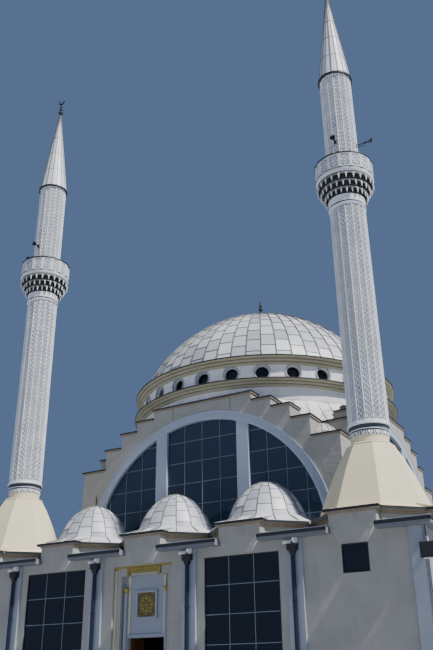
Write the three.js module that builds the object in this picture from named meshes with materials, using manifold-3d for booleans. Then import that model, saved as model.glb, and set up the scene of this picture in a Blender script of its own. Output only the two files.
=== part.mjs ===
// A mosque with a flat-roofed front block, four stepped gables round a square hall, a drum
// with a wide dome, three small domes and two tall minarets.
// Every size below is in metres on the real building. The outer group scales them to the
// millimetres of a 1:2 model. X runs to the right, Y to the back and Z up.
import * as THREE from 'three';
import { mergeVertices } from 'three/addons/utils/BufferGeometryUtils.js';
import Module from 'manifold-3d';

const wasm = await Module();
wasm.setup();

// Scale and clearances
const MODEL_SCALE = 1 / 2;
const MM_PER_METRE = 1000;
const GAP = 0.0003 / MODEL_SCALE;

// Plan: the front wall face is Y = 0
const BAY = 5.2;
const OUTER_BAY_X = 10.6;
const HALF_WIDTH = 13.3;
const DEPTH = 21.8;
const WALL = 0.3;
const HALL_HALF = 8.25;
const HALL_Y = DEPTH - HALL_HALF;
const HALL_FRONT = HALL_Y - HALL_HALF;
const PILASTER_WIDTH = 0.7;
const PILASTER_DEPTH = 0.1;
const PILASTER_X = [BAY / 2, 1.5 * BAY];
const CORNER_PILASTER = 0.55;
const PORTAL_BAY_HALF = BAY / 2 - PILASTER_WIDTH / 2;
const OCTAGON_X = [-OUTER_BAY_X, -BAY, 0, BAY, OUTER_BAY_X];
const OUTER_PIER_X = 10.47;
const PIER_X = [-OUTER_PIER_X, -BAY, 0, BAY, OUTER_PIER_X];
const WING_BAY = (DEPTH - HALL_FRONT) / 3;
const WING_BAYS = [0.5, 1.5, 2.5].map((bay) => HALL_FRONT + bay * WING_BAY);

// Levels
const FLOOR_TOP = 0.3;
const ROOF_UNDERSIDE = 7.2;
const ROOF_TOP = 7.45;
const EAVE_OVERHANG = 0.45;

// Windows
const WINDOW = { width: 3.68, sill: 0.75, head: 6.75 };
const SMALL_WINDOW = { width: 1.15, sill: 5.62, head: 6.765 };
const SMALL_WINDOW_X = 10.45;
const GLASS = 0.04;
const GLASS_LAP = 0.15;
const GLASS_SET_BACK = 0.06;
const WING_WINDOW = { x0: 9.55, x1: 12.0 };
const BACK_WINDOWS = [-4.8, 0, 4.8];
const BACK_PILASTERS = [-7.4, -2.4, 2.4, 7.4];

// Portal and doorway
const PORTAL = {
  depth: 0.9, outerHalf: 1.65, outerTop: 6.72, outerDepth: 0.18, innerHalf: 1.3, innerTop: 6.3,
  innerDepth: 0.5, doorHalf: 1.0, doorTop: 3.6, moulding: 0.14,
};
const PLAQUE = { half: 0.56, bottom: 4.4, top: 5.6, thickness: 0.08 };
const DOOR = { thickness: 0.06, headGap: 0.02 };
const DOWNPIPE = { radius: 0.09, hopper: { half: 0.22, depth: 0.26, bottom: 6.57, top: 6.93 } };

// Octagonal drums of the front block, sizes across from the axis to a flat
const OCTAGON = { flat: 2.42, wall: 0.35, eave: 2.62, eaveBottom: 8.07, eaveTop: 8.17, seat: 2.1, seatTop: 8.45 };
const OCTAGON_Y = 2.82;
const OUTER_BAY_HALF = HALF_WIDTH + EAVE_OVERHANG - OUTER_BAY_X;
const SMALL_DOME = {
  radius: 1.911, foot: 8.507, rise: 1.997, taper: 0.311, fullness: 2.932, power: 0.565, shell: 0.12, ribs: 16,
};

// Pier between each octagon and the outer wall, with an eave of its own. Its plate narrows
// below the shoulder and goes on down the wall as a corbel
const PIER = {
  half: 1.03, shoulder: 7.55, tipHalf: 0.55, tip: 6.8, eaveHalf: 1.2, eaveFront: 0.25, ridge: 8.44, ridgeReach: 2.0,
};

// Gables: half width and top of each step from the middle outwards
const GABLE_STEPS = [[3.23, 16.36], [4.41, 15.84], [5.54, 15.26], [6.65, 14.42], [HALL_HALF, 13.26]];
const GABLE_THICKNESS = 1.3;
const ARCH_FACE = 0.15;
const ARCH = { centre: 7.95, outer: 7.69, inner: 7.27 };
const MULLION = { middle: 2.63, width: 0.71, top: 15.0 };
const SILL_BEAM_BOTTOM = 7.2;
const HALL_OPENING_HALF = 6.9;

// Roofs in the corners between gables and drum
const CORNER_STEP = GABLE_STEPS[3][0];
const CORNER_PLATFORM = GABLE_STEPS[4][1];
const CORNER_DOME = { radius: 0.95, rise: 1.05 };
const ROOF_AT_DRUM = 16.1;
const PENDENTIVE_RADIUS = 10.3;

// Drum and main dome
const DRUM = { outer: 8.1, inner: 7.8, bottom: 16.4, top: 18.75, sides: 28 };
const OCULUS = { count: DRUM.sides, radius: 0.43, height: 17.77 };
const MAIN_DOME = { radius: 7.995, rise: 5.85, taper: 0.22, fullness: 2.156, power: 0.526, shell: 0.25 };

// Minarets, radii to the corners of their sixteen sides
const MINARET_SIDES = 16;
const MINARET = {
  baseFoot: [2.34, 8.34], baseWaist: [1.7, 10.0], baseHead: [0.95, 11.45], baseWall: 0.34,
  collar: 0.87, collarBottom: 11.42, collarTop: 11.78,
  friezeFoot: 0.84, friezeTop: 12.27, ring: 1.02, ringTop: 12.39, shaftFoot: 0.96, shaftHead: 0.945,
  neck: 24.3, corbel: 24.62, floor: 26.3, parapetBottom: 26.1, parapetTop: 27.04, parapet: 1.56, parapetWall: 0.12,
  upper: 0.89, coneFoot: 33.05, coneRim: 0.99, coneTip: 39.95,
};
const HORN = { height: 28.25, frontReach: 1.03, sideReach: 1.45, length: 0.3, mouth: 0.16 };

const degrees = THREE.MathUtils.degToRad;
const finish = (color, roughness, metalness) => new THREE.MeshStandardMaterial({ color, roughness, metalness });
const PLASTER = finish(0xb9b5aa, 0.9, 0);
const STONE = finish(0xcfd2d6, 0.85, 0);
const CREAM_PLASTER = finish(0xe3dcbc, 0.9, 0);
const CONCRETE = finish(0x9a9a96, 0.95, 0);
const ROOF_METAL = finish(0xd5d6d4, 0.45, 0.7);
const PIPE_METAL = finish(0x1f2636, 0.5, 0.3);
const WINDOW_GLASS = finish(0x16262f, 0.15, 0.1);
const GOLD_TRIM = finish(0xc9a03a, 0.5, 0.2);
const DOOR_WOOD = finish(0x6a4a2d, 0.7, 0);
const HORN_PLASTIC = finish(0x55585c, 0.6, 0);

const building = new THREE.Group();
building.scale.setScalar(MM_PER_METRE * MODEL_SCALE);
building.position.y = -DEPTH / 2 * MM_PER_METRE * MODEL_SCALE;

function add(name, geometry, material) {
  const mesh = new THREE.Mesh(geometry, material);
  mesh.name = name;
  building.add(mesh);
  return mesh;
}

// Boxes, prisms and turned shapes
function box(x0, x1, y0, y1, z0, z1) {
  const geometry = new THREE.BoxGeometry(x1 - x0, y1 - y0, z1 - z0);
  geometry.translate((x0 + x1) / 2, (y0 + y1) / 2, (z0 + z1) / 2);
  return geometry;
}

// An outline in X and Z, pushed back along Y
function pushed(shape, y0, y1, curveSegments = 20) {
  const geometry = new THREE.ExtrudeGeometry(shape, { depth: y1 - y0, bevelEnabled: false, curveSegments });
  geometry.rotateX(Math.PI / 2);
  geometry.translate(0, y1, 0);
  return geometry;
}

function outline(points) {
  return new THREE.Shape(points.map(([x, z]) => new THREE.Vector2(x, z)));
}

// A profile of [radius, height] turned about the Z axis, with a flat side to the front
function turned(profile, sides) {
  const points = profile.map(([radius, height]) => new THREE.Vector2(radius, height));
  const geometry = new THREE.LatheGeometry(points, sides, Math.PI / sides, 2 * Math.PI);
  geometry.rotateX(Math.PI / 2);
  return geometry;
}

// A profile of [distance to a flat, height] turned to an eight-sided form
function octagonal(profile) {
  const toCorner = 1 / Math.cos(Math.PI / 8);
  return turned(profile.map(([flat, height]) => [flat * toCorner, height]), 8);
}

// Outline of a metal dome from its foot to its apex, as [radius, height] points: straight
// taper times a curve that closes at the top
function domeOutline({ radius, rise, taper, fullness, power }, foot, inset, steps) {
  return Array.from({ length: steps + 1 }, (_, i) => {
    const part = Math.sin(i / steps * Math.PI / 2);
    const closing = Math.max(0, 1 - part ** fullness) ** power;
    return [(radius - inset) * (1 - taper * part) * closing, foot + (rise - inset) * part];
  });
}

// Quarter of an ellipse from its foot to its top, as [radius, height] points
function quarterEllipse(radius, foot, rise, steps) {
  return Array.from({ length: steps + 1 }, (_, i) => {
    const angle = i / steps * Math.PI / 2;
    return [radius * Math.cos(angle), foot + rise * Math.sin(angle)];
  });
}

// Solids for cutting and joining
function toSolid(geometry) {
  const bare = geometry.clone();
  bare.deleteAttribute('normal');
  bare.deleteAttribute('uv');
  const merged = mergeVertices(bare, 1e-5);
  const index = merged.index.array;
  const kept = [];
  for (let i = 0; i < index.length; i += 3) {
    const [a, b, c] = [index[i], index[i + 1], index[i + 2]];
    if (a !== b && b !== c && c !== a) {
      kept.push(a, b, c);
    }
  }
  return new wasm.Manifold(new wasm.Mesh({
    numProp: 3,
    vertProperties: new Float32Array(merged.attributes.position.array),
    triVerts: new Uint32Array(kept),
  }));
}

function toGeometry(solid) {
  const mesh = solid.getMesh();
  const geometry = new THREE.BufferGeometry();
  geometry.setAttribute('position', new THREE.BufferAttribute(mesh.vertProperties, 3));
  geometry.setIndex(new THREE.BufferAttribute(mesh.triVerts, 1));
  geometry.computeVertexNormals();
  return geometry;
}

function cut(geometry, tools) {
  return toGeometry(tools.reduce((solid, tool) => solid.subtract(toSolid(tool)), toSolid(geometry)));
}

function join(geometries) {
  return toGeometry(geometries.slice(1).reduce((solid, piece) => solid.add(toSolid(piece)), toSolid(geometries[0])));
}

function moved(geometry, x, y, z = 0) {
  return geometry.clone().translate(x, y, z);
}

// Turns a piece of the front gable onto one of the other sides of the hall
function aroundHall(geometry, quarterTurns) {
  return geometry.clone()
    .translate(0, -HALL_Y, 0)
    .rotateZ(quarterTurns * Math.PI / 2)
    .translate(0, HALL_Y, 0);
}

// The slab under the walls, with a low plinth that carries the pilasters
function groundFloor() {
  const half = HALF_WIDTH + PILASTER_DEPTH;
  return box(-half, half, -PILASTER_DEPTH, DEPTH + PILASTER_DEPTH, 0, FLOOR_TOP - GAP);
}

// Outer walls, drawn as front walls and turned onto the other sides
function windowCut(middle, opening) {
  const half = opening.width / 2;
  return box(middle - half, middle + half, -1, 1, opening.sill, opening.head);
}

function pilaster(x0, x1) {
  return box(x0, x1, -PILASTER_DEPTH, WALL / 2, FLOOR_TOP, ROOF_UNDERSIDE - GAP);
}

function middlePilaster(middle) {
  return pilaster(middle - PILASTER_WIDTH / 2, middle + PILASTER_WIDTH / 2);
}

function plainWall(x0, x1) {
  return box(x0, x1, 0, WALL, FLOOR_TOP, ROOF_UNDERSIDE - GAP);
}

// Half width of a pier's plate at a height between its tip and its shoulder
function plateHalf(height) {
  const { half, shoulder, tipHalf, tip } = PIER;
  return tipHalf + (half - tipHalf) * (height - tip) / (shoulder - tip);
}

// Lower end of a pier's plate, on the wall under the eave
function corbel() {
  const top = ROOF_UNDERSIDE - GAP;
  const right = [[PIER.tipHalf, PIER.tip], [plateHalf(top), top]];
  const left = right.map(([x, z]) => [-x, z]).reverse();
  return pushed(outline([...right, ...left]), -PILASTER_DEPTH, WALL / 2);
}

function frontWallRight() {
  const corner = box(HALF_WIDTH - CORNER_PILASTER, HALF_WIDTH + PILASTER_DEPTH, -PILASTER_DEPTH, WALL,
    FLOOR_TOP, ROOF_UNDERSIDE - GAP);
  const corbels = [BAY, OUTER_PIER_X].map((x) => moved(corbel(), x, 0));
  const pieces = [plainWall(PORTAL_BAY_HALF, HALF_WIDTH), corner, ...PILASTER_X.map(middlePilaster), ...corbels];
  return cut(join(pieces), [windowCut(BAY, WINDOW), windowCut(SMALL_WINDOW_X, SMALL_WINDOW)]);
}

// One masonry corner: the side wall and the short wall behind the right wing
function wingWallRight() {
  const bounds = [0, 1, 2].map((bay) => HALL_FRONT + bay * WING_BAY);
  const side = join([
    plainWall(WALL + GAP, DEPTH),
    pilaster(DEPTH - CORNER_PILASTER, DEPTH),
    ...bounds.map(middlePilaster),
  ]);
  const sideWindows = [windowCut(OCTAGON_Y, SMALL_WINDOW), ...WING_BAYS.map((middle) => windowCut(middle, WINDOW))];
  const sideWall = cut(side, sideWindows).rotateZ(Math.PI / 2).translate(HALF_WIDTH, 0, 0);
  const back = box(HALL_HALF + GAP, HALF_WIDTH, DEPTH - WALL, DEPTH, FLOOR_TOP, ROOF_UNDERSIDE - GAP);
  const backWindow = box(WING_WINDOW.x0, WING_WINDOW.x1, DEPTH - 1, DEPTH + 1, WINDOW.sill, WINDOW.head);
  return join([sideWall, cut(back, [backWindow])]);
}

// Window that fills its opening and stands forward from the sheet behind the wall
function windowPlug(middle, opening) {
  const half = opening.width / 2 - GAP;
  return box(middle - half, middle + half, GLASS_SET_BACK, WALL + GLASS, opening.sill + GAP, opening.head - GAP);
}

// One sheet closes all windows of a wall from behind
function frontGlassRight() {
  const sheet = box(BAY - WINDOW.width / 2 - GLASS_LAP, SMALL_WINDOW_X + SMALL_WINDOW.width / 2 + GLASS_LAP,
    WALL + GAP, WALL + GLASS, WINDOW.sill - GLASS_LAP, SMALL_WINDOW.head + GLASS_LAP);
  return join([sheet, windowPlug(BAY, WINDOW), windowPlug(SMALL_WINDOW_X, SMALL_WINDOW)]);
}

function wingGlassRight() {
  const bottom = WINDOW.sill - GLASS_LAP;
  const top = WINDOW.head + GLASS_LAP;
  const outer = HALF_WIDTH - WALL - GAP;
  const back = DEPTH - WALL - GAP;
  const front = OCTAGON_Y - SMALL_WINDOW.width / 2 - GLASS_LAP;
  const sidePlugs = join([windowPlug(OCTAGON_Y, SMALL_WINDOW), ...WING_BAYS.map((middle) => windowPlug(middle, WINDOW))])
    .rotateZ(Math.PI / 2)
    .translate(HALF_WIDTH, 0, 0);
  return join([
    box(outer - GLASS, outer, front, back, bottom, top),
    box(WING_WINDOW.x0 - GLASS_LAP, outer, back - GLASS, back, bottom, top),
    sidePlugs,
    box(WING_WINDOW.x0 + GAP, WING_WINDOW.x1 - GAP, back - GLASS, DEPTH - GLASS_SET_BACK,
      WINDOW.sill + GAP, WINDOW.head - GAP),
  ]);
}

function mirrored(geometry) {
  return toGeometry(toSolid(geometry).mirror([1, 0, 0]));
}

// Portal: a stepped recess over the doorway in the middle bay
function portalWall() {
  const half = PORTAL_BAY_HALF - GAP;
  const wall = join([box(-half, half, 0, PORTAL.depth, FLOOR_TOP, ROOF_UNDERSIDE - GAP), corbel()]);
  return cut(wall, [
    box(-PORTAL.outerHalf, PORTAL.outerHalf, -1, PORTAL.outerDepth, 0, PORTAL.outerTop),
    box(-PORTAL.innerHalf, PORTAL.innerHalf, -1, PORTAL.innerDepth, 0, PORTAL.innerTop),
    box(-PORTAL.doorHalf, PORTAL.doorHalf, -1, 2, 0, PORTAL.doorTop),
  ]);
}

// Gilt moulding that runs up, across and down inside the outer recess
function portalMoulding() {
  const outer = PORTAL.outerHalf - GAP;
  const top = PORTAL.outerTop - GAP;
  const bar = PORTAL.moulding;
  const depth = PORTAL.outerDepth - GAP;
  return cut(box(-outer, outer, PORTAL.outerDepth - bar, depth, FLOOR_TOP, top), [
    box(-outer + bar, outer - bar, -1, 1, 0, top - bar),
  ]);
}

function portalPlaque() {
  const { half, bottom, top, thickness } = PLAQUE;
  const back = PORTAL.innerDepth - GAP;
  return box(-half, half, back - thickness, back, bottom, top);
}

// Door leaves stand open against the inside of the doorway
function doorLeafRight() {
  const outer = PORTAL.doorHalf - GAP;
  const start = PORTAL.innerDepth + PORTAL.moulding;
  return box(outer - DOOR.thickness, outer, start, start + PORTAL.doorHalf, FLOOR_TOP, PORTAL.doorTop - DOOR.headGap);
}

// Flat roofs with their eaves
function frontRoof() {
  const edge = HALF_WIDTH + EAVE_OVERHANG;
  const slab = box(-edge, edge, -EAVE_OVERHANG, HALL_FRONT - GAP, ROOF_UNDERSIDE, ROOF_TOP);
  const clear = OCTAGON.flat + GAP;
  const well = octagonal([
    [0, ROOF_UNDERSIDE - 1], [clear, ROOF_UNDERSIDE - 1], [clear, ROOF_TOP + 1], [0, ROOF_TOP + 1],
  ]);
  const wells = OCTAGON_X.map((x) => moved(well, x, OCTAGON_Y));
  const notchHalf = PIER.half + GAP;
  const notches = PIER_X.map((x) => (
    box(x - notchHalf, x + notchHalf, -EAVE_OVERHANG - 1, OCTAGON_Y, ROOF_UNDERSIDE - 1, ROOF_TOP + 1)));
  return cut(slab, [...wells, ...notches]);
}

function wingRoofRight() {
  return box(HALL_HALF + GAP, HALF_WIDTH + EAVE_OVERHANG, HALL_FRONT, DEPTH + EAVE_OVERHANG,
    ROOF_UNDERSIDE, ROOF_TOP);
}

// Neighbouring eaves meet at the bay line, and the eave stops at the hall
function clippedToBay(geometry, bayHalf) {
  const half = bayHalf - GAP;
  const room = box(-half, half, -BAY, HALL_FRONT - OCTAGON_Y - GAP, 0, 2 * MINARET.collarTop);
  return toGeometry(toSolid(geometry).intersect(toSolid(room)));
}

// Pier from an octagon out to a wall face at a given reach, with its plate and its sloping eave
function pier(reach, bottom) {
  const { half, shoulder, eaveHalf, eaveFront, ridge, ridgeReach } = PIER;
  const { flat, wall, eaveBottom, eaveTop } = OCTAGON;
  const body = box(-half, half, -reach, -(flat - wall / 2), bottom, eaveBottom + GAP);
  const right = [[plateHalf(bottom), bottom], [half, shoulder], [half, eaveBottom + GAP]];
  const left = right.map(([x, z]) => [-x, z]).reverse();
  const plate = pushed(outline([...right, ...left]), -reach - PILASTER_DEPTH, -reach + GAP);
  const edge = -reach - eaveFront;
  const eave = pushed(outline([
    [edge, eaveBottom], [-ridgeReach, eaveBottom], [-ridgeReach, ridge], [edge, eaveTop],
  ]), -eaveHalf, eaveHalf).rotateZ(Math.PI / 2);
  return join([body, plate, eave]);
}

// Eight-sided drum with its own eave and a round seat for a small dome
function domeDrum() {
  const { flat, wall, eave, eaveBottom, eaveTop, seat, seatTop } = OCTAGON;
  const inside = flat - wall;
  const hole = SMALL_DOME.radius - SMALL_DOME.shell - wall / 2;
  const ring = octagonal([
    [inside, ROOF_UNDERSIDE], [flat, ROOF_UNDERSIDE], [flat, eaveBottom], [eave, eaveBottom],
    [eave, eaveTop], [seat, seatTop], [hole, seatTop], [hole, eaveTop], [inside, eaveBottom],
    [inside, ROOF_UNDERSIDE],
  ]);
  return clippedToBay(join([ring, pier(OCTAGON_Y, ROOF_UNDERSIDE)]), BAY / 2);
}

function smallDome() {
  const { radius, foot, rise, shell, ribs } = SMALL_DOME;
  const bottom = OCTAGON.seatTop + GAP;
  const flare = 0.1;
  const outside = domeOutline(SMALL_DOME, foot, 0, 6);
  const inside = domeOutline(SMALL_DOME, foot, shell, 5).reverse();
  const inner = radius - shell;
  const shellProfile = [[inner, bottom], [radius + flare, bottom], ...outside, ...inside, [inner, bottom]];
  const apex = foot + rise;
  const finial = turned([
    [0, apex - shell / 2], [0.09, apex - shell / 2], [0.08, apex + 0.1], [0.05, apex + 0.3], [0, apex + 0.42],
  ], 8);
  return join([turned(shellProfile, ribs), finial]);
}

// Minaret pieces, from the octagon up. The base of the right minaret: a hollow curved pyramid
// with a collar, on an octagon with a pier to the front and one to the side
function minaretBaseRight() {
  const { flat, wall, eave, eaveBottom, eaveTop } = OCTAGON;
  const { baseFoot, baseWaist, baseHead, baseWall, collar, collarBottom, collarTop } = MINARET;
  const inside = flat - wall;
  const inward = ([distance, height]) => [distance - baseWall, height];
  const pyramid = octagonal([
    [0, baseHead[1] - baseWall], inward(baseHead), inward(baseWaist), inward(baseFoot), [inside, eaveBottom],
    [inside, ROOF_UNDERSIDE], [flat, ROOF_UNDERSIDE], [flat, eaveBottom], [eave, eaveBottom], [eave, eaveTop],
    baseFoot, baseWaist, baseHead, [0, baseHead[1]],
  ]);
  const ring = turned([[0, collarBottom], [collar, collarBottom], [collar, collarTop], [0, collarTop]], MINARET_SIDES);
  const frontPier = moved(pier(OCTAGON_Y, ROOF_UNDERSIDE), OUTER_PIER_X - OUTER_BAY_X, 0);
  const sidePier = pier(HALF_WIDTH - OUTER_BAY_X, ROOF_TOP + GAP).rotateZ(Math.PI / 2);
  return clippedToBay(join([pyramid, ring, frontPier, sidePier]), OUTER_BAY_HALF);
}

function minaretShaft() {
  const { collarTop, friezeFoot, friezeTop, ring, ringTop, shaftFoot, shaftHead, neck, corbel } = MINARET;
  const bottom = collarTop + GAP;
  const roll = 0.1;
  return turned([
    [0, bottom], [friezeFoot, bottom], [friezeFoot + 0.02, (bottom + friezeTop) / 2], [shaftFoot, friezeTop],
    [ring, friezeTop + 0.03], [ring, ringTop], [shaftFoot, ringTop + 0.05],
    [shaftHead, neck], [shaftHead + roll, neck + roll],
    [shaftHead, neck + 2 * roll], [shaftHead, corbel - GAP], [0, corbel - GAP],
  ], MINARET_SIDES);
}

// Corbels in three tiers under a walkway with a parapet
function balcony() {
  const { shaftHead, corbel, floor, parapetBottom, parapetTop, parapet, parapetWall } = MINARET;
  const tiers = 3;
  const tierRise = (parapetBottom - corbel) / tiers;
  const tierReach = (parapet - shaftHead) / tiers;
  const corbels = Array.from({ length: tiers }, (_, i) => [
    [shaftHead + i * tierReach + 0.03, corbel + i * tierRise],
    [shaftHead + (i + 1) * tierReach, corbel + (i + 0.75) * tierRise],
    [shaftHead + (i + 1) * tierReach, corbel + (i + 1) * tierRise],
  ]).flat();
  return turned([
    [0, corbel], ...corbels, [parapet, parapetTop], [parapet - parapetWall, parapetTop],
    [parapet - parapetWall, floor], [0, floor],
  ], MINARET_SIDES);
}

function upperShaft() {
  const { floor, upper, coneFoot } = MINARET;
  return turned([[0, floor + GAP], [upper, floor + GAP], [upper, coneFoot - GAP], [0, coneFoot - GAP]],
    MINARET_SIDES);
}

// Metal cone with balls and a crescent on its tip
function spire() {
  const { coneFoot, coneRim, coneTip } = MINARET;
  const cone = turned([
    [0, coneFoot], [coneRim, coneFoot], [coneRim, coneFoot + 0.16], [coneRim - 0.07, coneFoot + 0.2],
    [0.05, coneTip - 0.3], [0, coneTip - 0.3],
  ], MINARET_SIDES);
  const balls = [[0.17, coneTip + 0.1], [0.13, coneTip + 0.48], [0.09, coneTip + 0.78]];
  const beads = balls.flatMap(([radius, height]) => (
    [[0.04, height - radius], [radius, height - radius / 2], [radius, height + radius / 2], [0.04, height + radius]]));
  const stem = turned([[0, coneTip - 0.5], [0.04, coneTip - 0.5], ...beads, [0.04, coneTip + 1.2], [0, coneTip + 1.2]], 8);
  const crescent = new THREE.Shape();
  crescent.absarc(0, 0, 0.26, degrees(140), degrees(400), false);
  crescent.absarc(0, 0.07, 0.2, degrees(385), degrees(155), true);
  const horns = moved(pushed(crescent, -0.02, 0.02, 8), 0, 0, coneTip + 1.4);
  return join([cone, stem, horns]);
}

// Loudspeaker horn that points away from the minaret, on a bracket from the upper shaft
function loudspeaker(reach, quarterTurns) {
  const { height, length, mouth } = HORN;
  const driver = 0.07;
  const horn = turned([
    [0, -0.12], [driver, -0.12], [driver, 0], [mouth, length], [mouth - 0.02, length], [driver / 2, 0.04], [0, 0.04],
  ], 12).rotateX(Math.PI / 2).translate(0, -reach, height);
  const face = MINARET.upper * Math.cos(Math.PI / MINARET_SIDES) + GAP;
  const bracket = box(-0.025, 0.025, -reach, -face, height - 0.025, height + 0.025);
  return join([horn, bracket]).rotateZ(quarterTurns * Math.PI / 2);
}

// Gable wall with a stepped head over the arch of its lunette
function gableOutline(legs) {
  const right = GABLE_STEPS.flatMap(([half, top], i) => {
    const inner = i === 0 ? [] : [[GABLE_STEPS[i - 1][0], top]];
    return [...inner, [half, top]];
  });
  const rightDown = [...right, [HALL_HALF, FLOOR_TOP], ...legs];
  const left = rightDown.map(([x, z]) => [-x, z]).reverse();
  return outline([...rightDown, ...left]);
}

function archDisc(radius, y0, y1) {
  const disc = new THREE.Shape();
  disc.absarc(0, ARCH.centre, radius, 0, Math.PI, false);
  return pushed(disc, y0, y1);
}

// Takes away what belongs to the next gable beyond the corner's diagonal
function mitre(side) {
  const near = HALL_HALF - GABLE_THICKNESS - 1;
  const far = HALL_HALF + 1;
  const wide = HALL_HALF + 3;
  const plan = new THREE.Shape([[near, near], [far, far], [wide, far], [wide, near]].map(([x, y]) => (
    new THREE.Vector2(side * (x - GAP), -y))));
  const prism = new THREE.ExtrudeGeometry(plan, { depth: 20, bevelEnabled: false });
  return prism.translate(0, HALL_Y, -1);
}

function gable(closedBelow = false, lowerPieces = []) {
  const y0 = HALL_FRONT;
  const y1 = HALL_FRONT + GABLE_THICKNESS;
  const legs = closedBelow ? [] : [[HALL_OPENING_HALF, FLOOR_TOP], [HALL_OPENING_HALF, SILL_BEAM_BOTTOM]];
  const wall = cut(pushed(gableOutline(legs), y0, y1), [
    archDisc(ARCH.inner, y0 - 1, y1 + 1),
    archDisc(ARCH.outer, y0 + ARCH_FACE, y1 + 1),
  ]);
  const mullions = [-1, 1].map((side) => {
    const middle = side * MULLION.middle;
    const half = MULLION.width / 2;
    return box(middle - half, middle + half, y0, y0 + ARCH_FACE, ARCH.centre - 0.1, MULLION.top);
  });
  return cut(join([wall, ...mullions, ...lowerPieces]), [mitre(-1), mitre(1)]);
}

// The back gable goes down to the ground as a wall with windows, under a band that carries on the eave
function backGable() {
  const y0 = HALL_FRONT;
  const inner = box(-HALL_OPENING_HALF, HALL_OPENING_HALF, y0 + WALL, y0 + GABLE_THICKNESS + 1, 0, SILL_BEAM_BOTTOM);
  const windows = BACK_WINDOWS.map((middle) => (
    box(middle - WINDOW.width / 2, middle + WINDOW.width / 2, y0 - 1, y0 + 1, WINDOW.sill, WINDOW.head)));
  const pilasters = BACK_PILASTERS.map((middle) => moved(middlePilaster(middle), 0, y0));
  const band = box(-HALL_HALF, HALL_HALF, y0 - EAVE_OVERHANG, y0 + WALL, ROOF_UNDERSIDE, ROOF_TOP);
  return cut(gable(true, [...pilasters, band]), [inner, ...windows]);
}

function backGlass() {
  const half = HALL_OPENING_HALF - GAP;
  const y0 = HALL_FRONT + WALL + GAP;
  return box(-half, half, y0, y0 + GLASS, WINDOW.sill - GLASS_LAP, WINDOW.head + GLASS_LAP);
}

function lunetteGlass() {
  const y0 = HALL_FRONT + ARCH_FACE + GAP;
  return archDisc(ARCH.outer - 3 * GAP, y0, y0 + GLASS).translate(0, 0, GAP);
}

// Corner between two gables: pendentive below, sloping metal roof and a quarter dome above
function cornerRoof() {
  const inner = HALL_HALF - GABLE_THICKNESS - GAP;
  const block = box(GAP, inner, -inner, -GAP, ARCH.centre, DRUM.bottom - GAP);
  const hollow = new THREE.SphereGeometry(PENDENTIVE_RADIUS, 32, 16).rotateX(Math.PI / 2)
    .translate(0, 0, ARCH.centre);
  const slopeFoot = GABLE_STEPS[3][1];
  const cornerRadius = CORNER_STEP * Math.SQRT2;
  const above = turned([
    [DRUM.outer, ROOF_AT_DRUM], [cornerRadius, slopeFoot], [cornerRadius + 2, slopeFoot],
    [cornerRadius + 2, DRUM.bottom + 1], [DRUM.outer, DRUM.bottom + 1], [DRUM.outer, ROOF_AT_DRUM],
  ], DRUM.sides);
  const platform = box(CORNER_STEP, inner + 1, -inner - 1, -CORNER_STEP, CORNER_PLATFORM, DRUM.bottom);
  const seat = box(CORNER_STEP + GAP, inner, -inner, -CORNER_STEP - GAP, CORNER_PLATFORM - 0.1, CORNER_PLATFORM + 0.1);
  return join([cut(block, [hollow, above, platform]), seat, cornerDome()]).translate(0, HALL_Y, 0);
}

function cornerDome() {
  const { radius, rise } = CORNER_DOME;
  const foot = CORNER_PLATFORM + GAP;
  const whole = toSolid(turned([[0, foot], ...quarterEllipse(radius, foot, rise, 4)], 16));
  const quarter = whole.intersect(toSolid(box(GAP, 2, -2, -GAP, 0, 20)));
  return toGeometry(quarter).translate(CORNER_STEP, -CORNER_STEP, 0);
}

// Drum with two cornices and a ring of round windows
function drum() {
  const { outer, inner, bottom, top, sides } = DRUM;
  const ring = turned([
    [inner, bottom], [outer, bottom], [outer, 16.85], [outer + 0.25, 17.0], [outer + 0.49, 17.12],
    [outer + 0.49, 17.24], [outer, 17.3], [outer, 18.12], [outer + 0.2, 18.3], [outer + 0.42, 18.5],
    [outer + 0.42, 18.65], [outer, top], [inner, top], [inner, bottom],
  ], sides);
  const holes = Array.from({ length: OCULUS.count }, (_, i) => (
    new THREE.CylinderGeometry(OCULUS.radius, OCULUS.radius, 2, 8)
      .translate(0, -outer, 0)
      .rotateZ(2 * Math.PI * i / OCULUS.count)
      .translate(0, 0, OCULUS.height)));
  return cut(ring, holes).translate(0, HALL_Y, 0);
}

function oculusGlass() {
  const outside = DRUM.inner - GAP;
  const inside = outside - GLASS;
  const bottom = OCULUS.height - 0.6;
  const top = OCULUS.height + 0.6;
  return turned([[inside, bottom], [outside, bottom], [outside, top], [inside, top], [inside, bottom]], DRUM.sides)
    .translate(0, HALL_Y, 0);
}

function mainDome() {
  const { rise, shell } = MAIN_DOME;
  const foot = DRUM.top + GAP;
  const outside = domeOutline(MAIN_DOME, foot, 0, 9);
  const inside = domeOutline(MAIN_DOME, foot, shell, 7).reverse();
  const apex = foot + rise;
  const finial = turned([
    [0, apex - shell / 2], [0.16, apex - shell / 2], [0.12, apex + 0.12], [0.05, apex + 0.2], [0.11, apex + 0.35],
    [0.05, apex + 0.5], [0.09, apex + 0.62], [0.03, apex + 0.75], [0, apex + 0.95],
  ], 12);
  return join([turned([...outside, ...inside, outside[0]], DRUM.sides), finial]).translate(0, HALL_Y, 0);
}

// Rainwater pipe with its hopper, in front of a pilaster
function downpipe() {
  const { radius, hopper } = DOWNPIPE;
  const pipe = new THREE.CylinderGeometry(radius, radius, hopper.bottom - FLOOR_TOP + 0.1, 10)
    .rotateX(Math.PI / 2)
    .translate(0, 0, (hopper.bottom + FLOOR_TOP + 0.1) / 2);
  const head = box(-hopper.half, hopper.half, -radius, hopper.depth - radius, hopper.bottom, hopper.top);
  return moved(join([pipe, head]), 0, -PILASTER_DEPTH - GAP - hopper.depth + radius);
}

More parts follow.
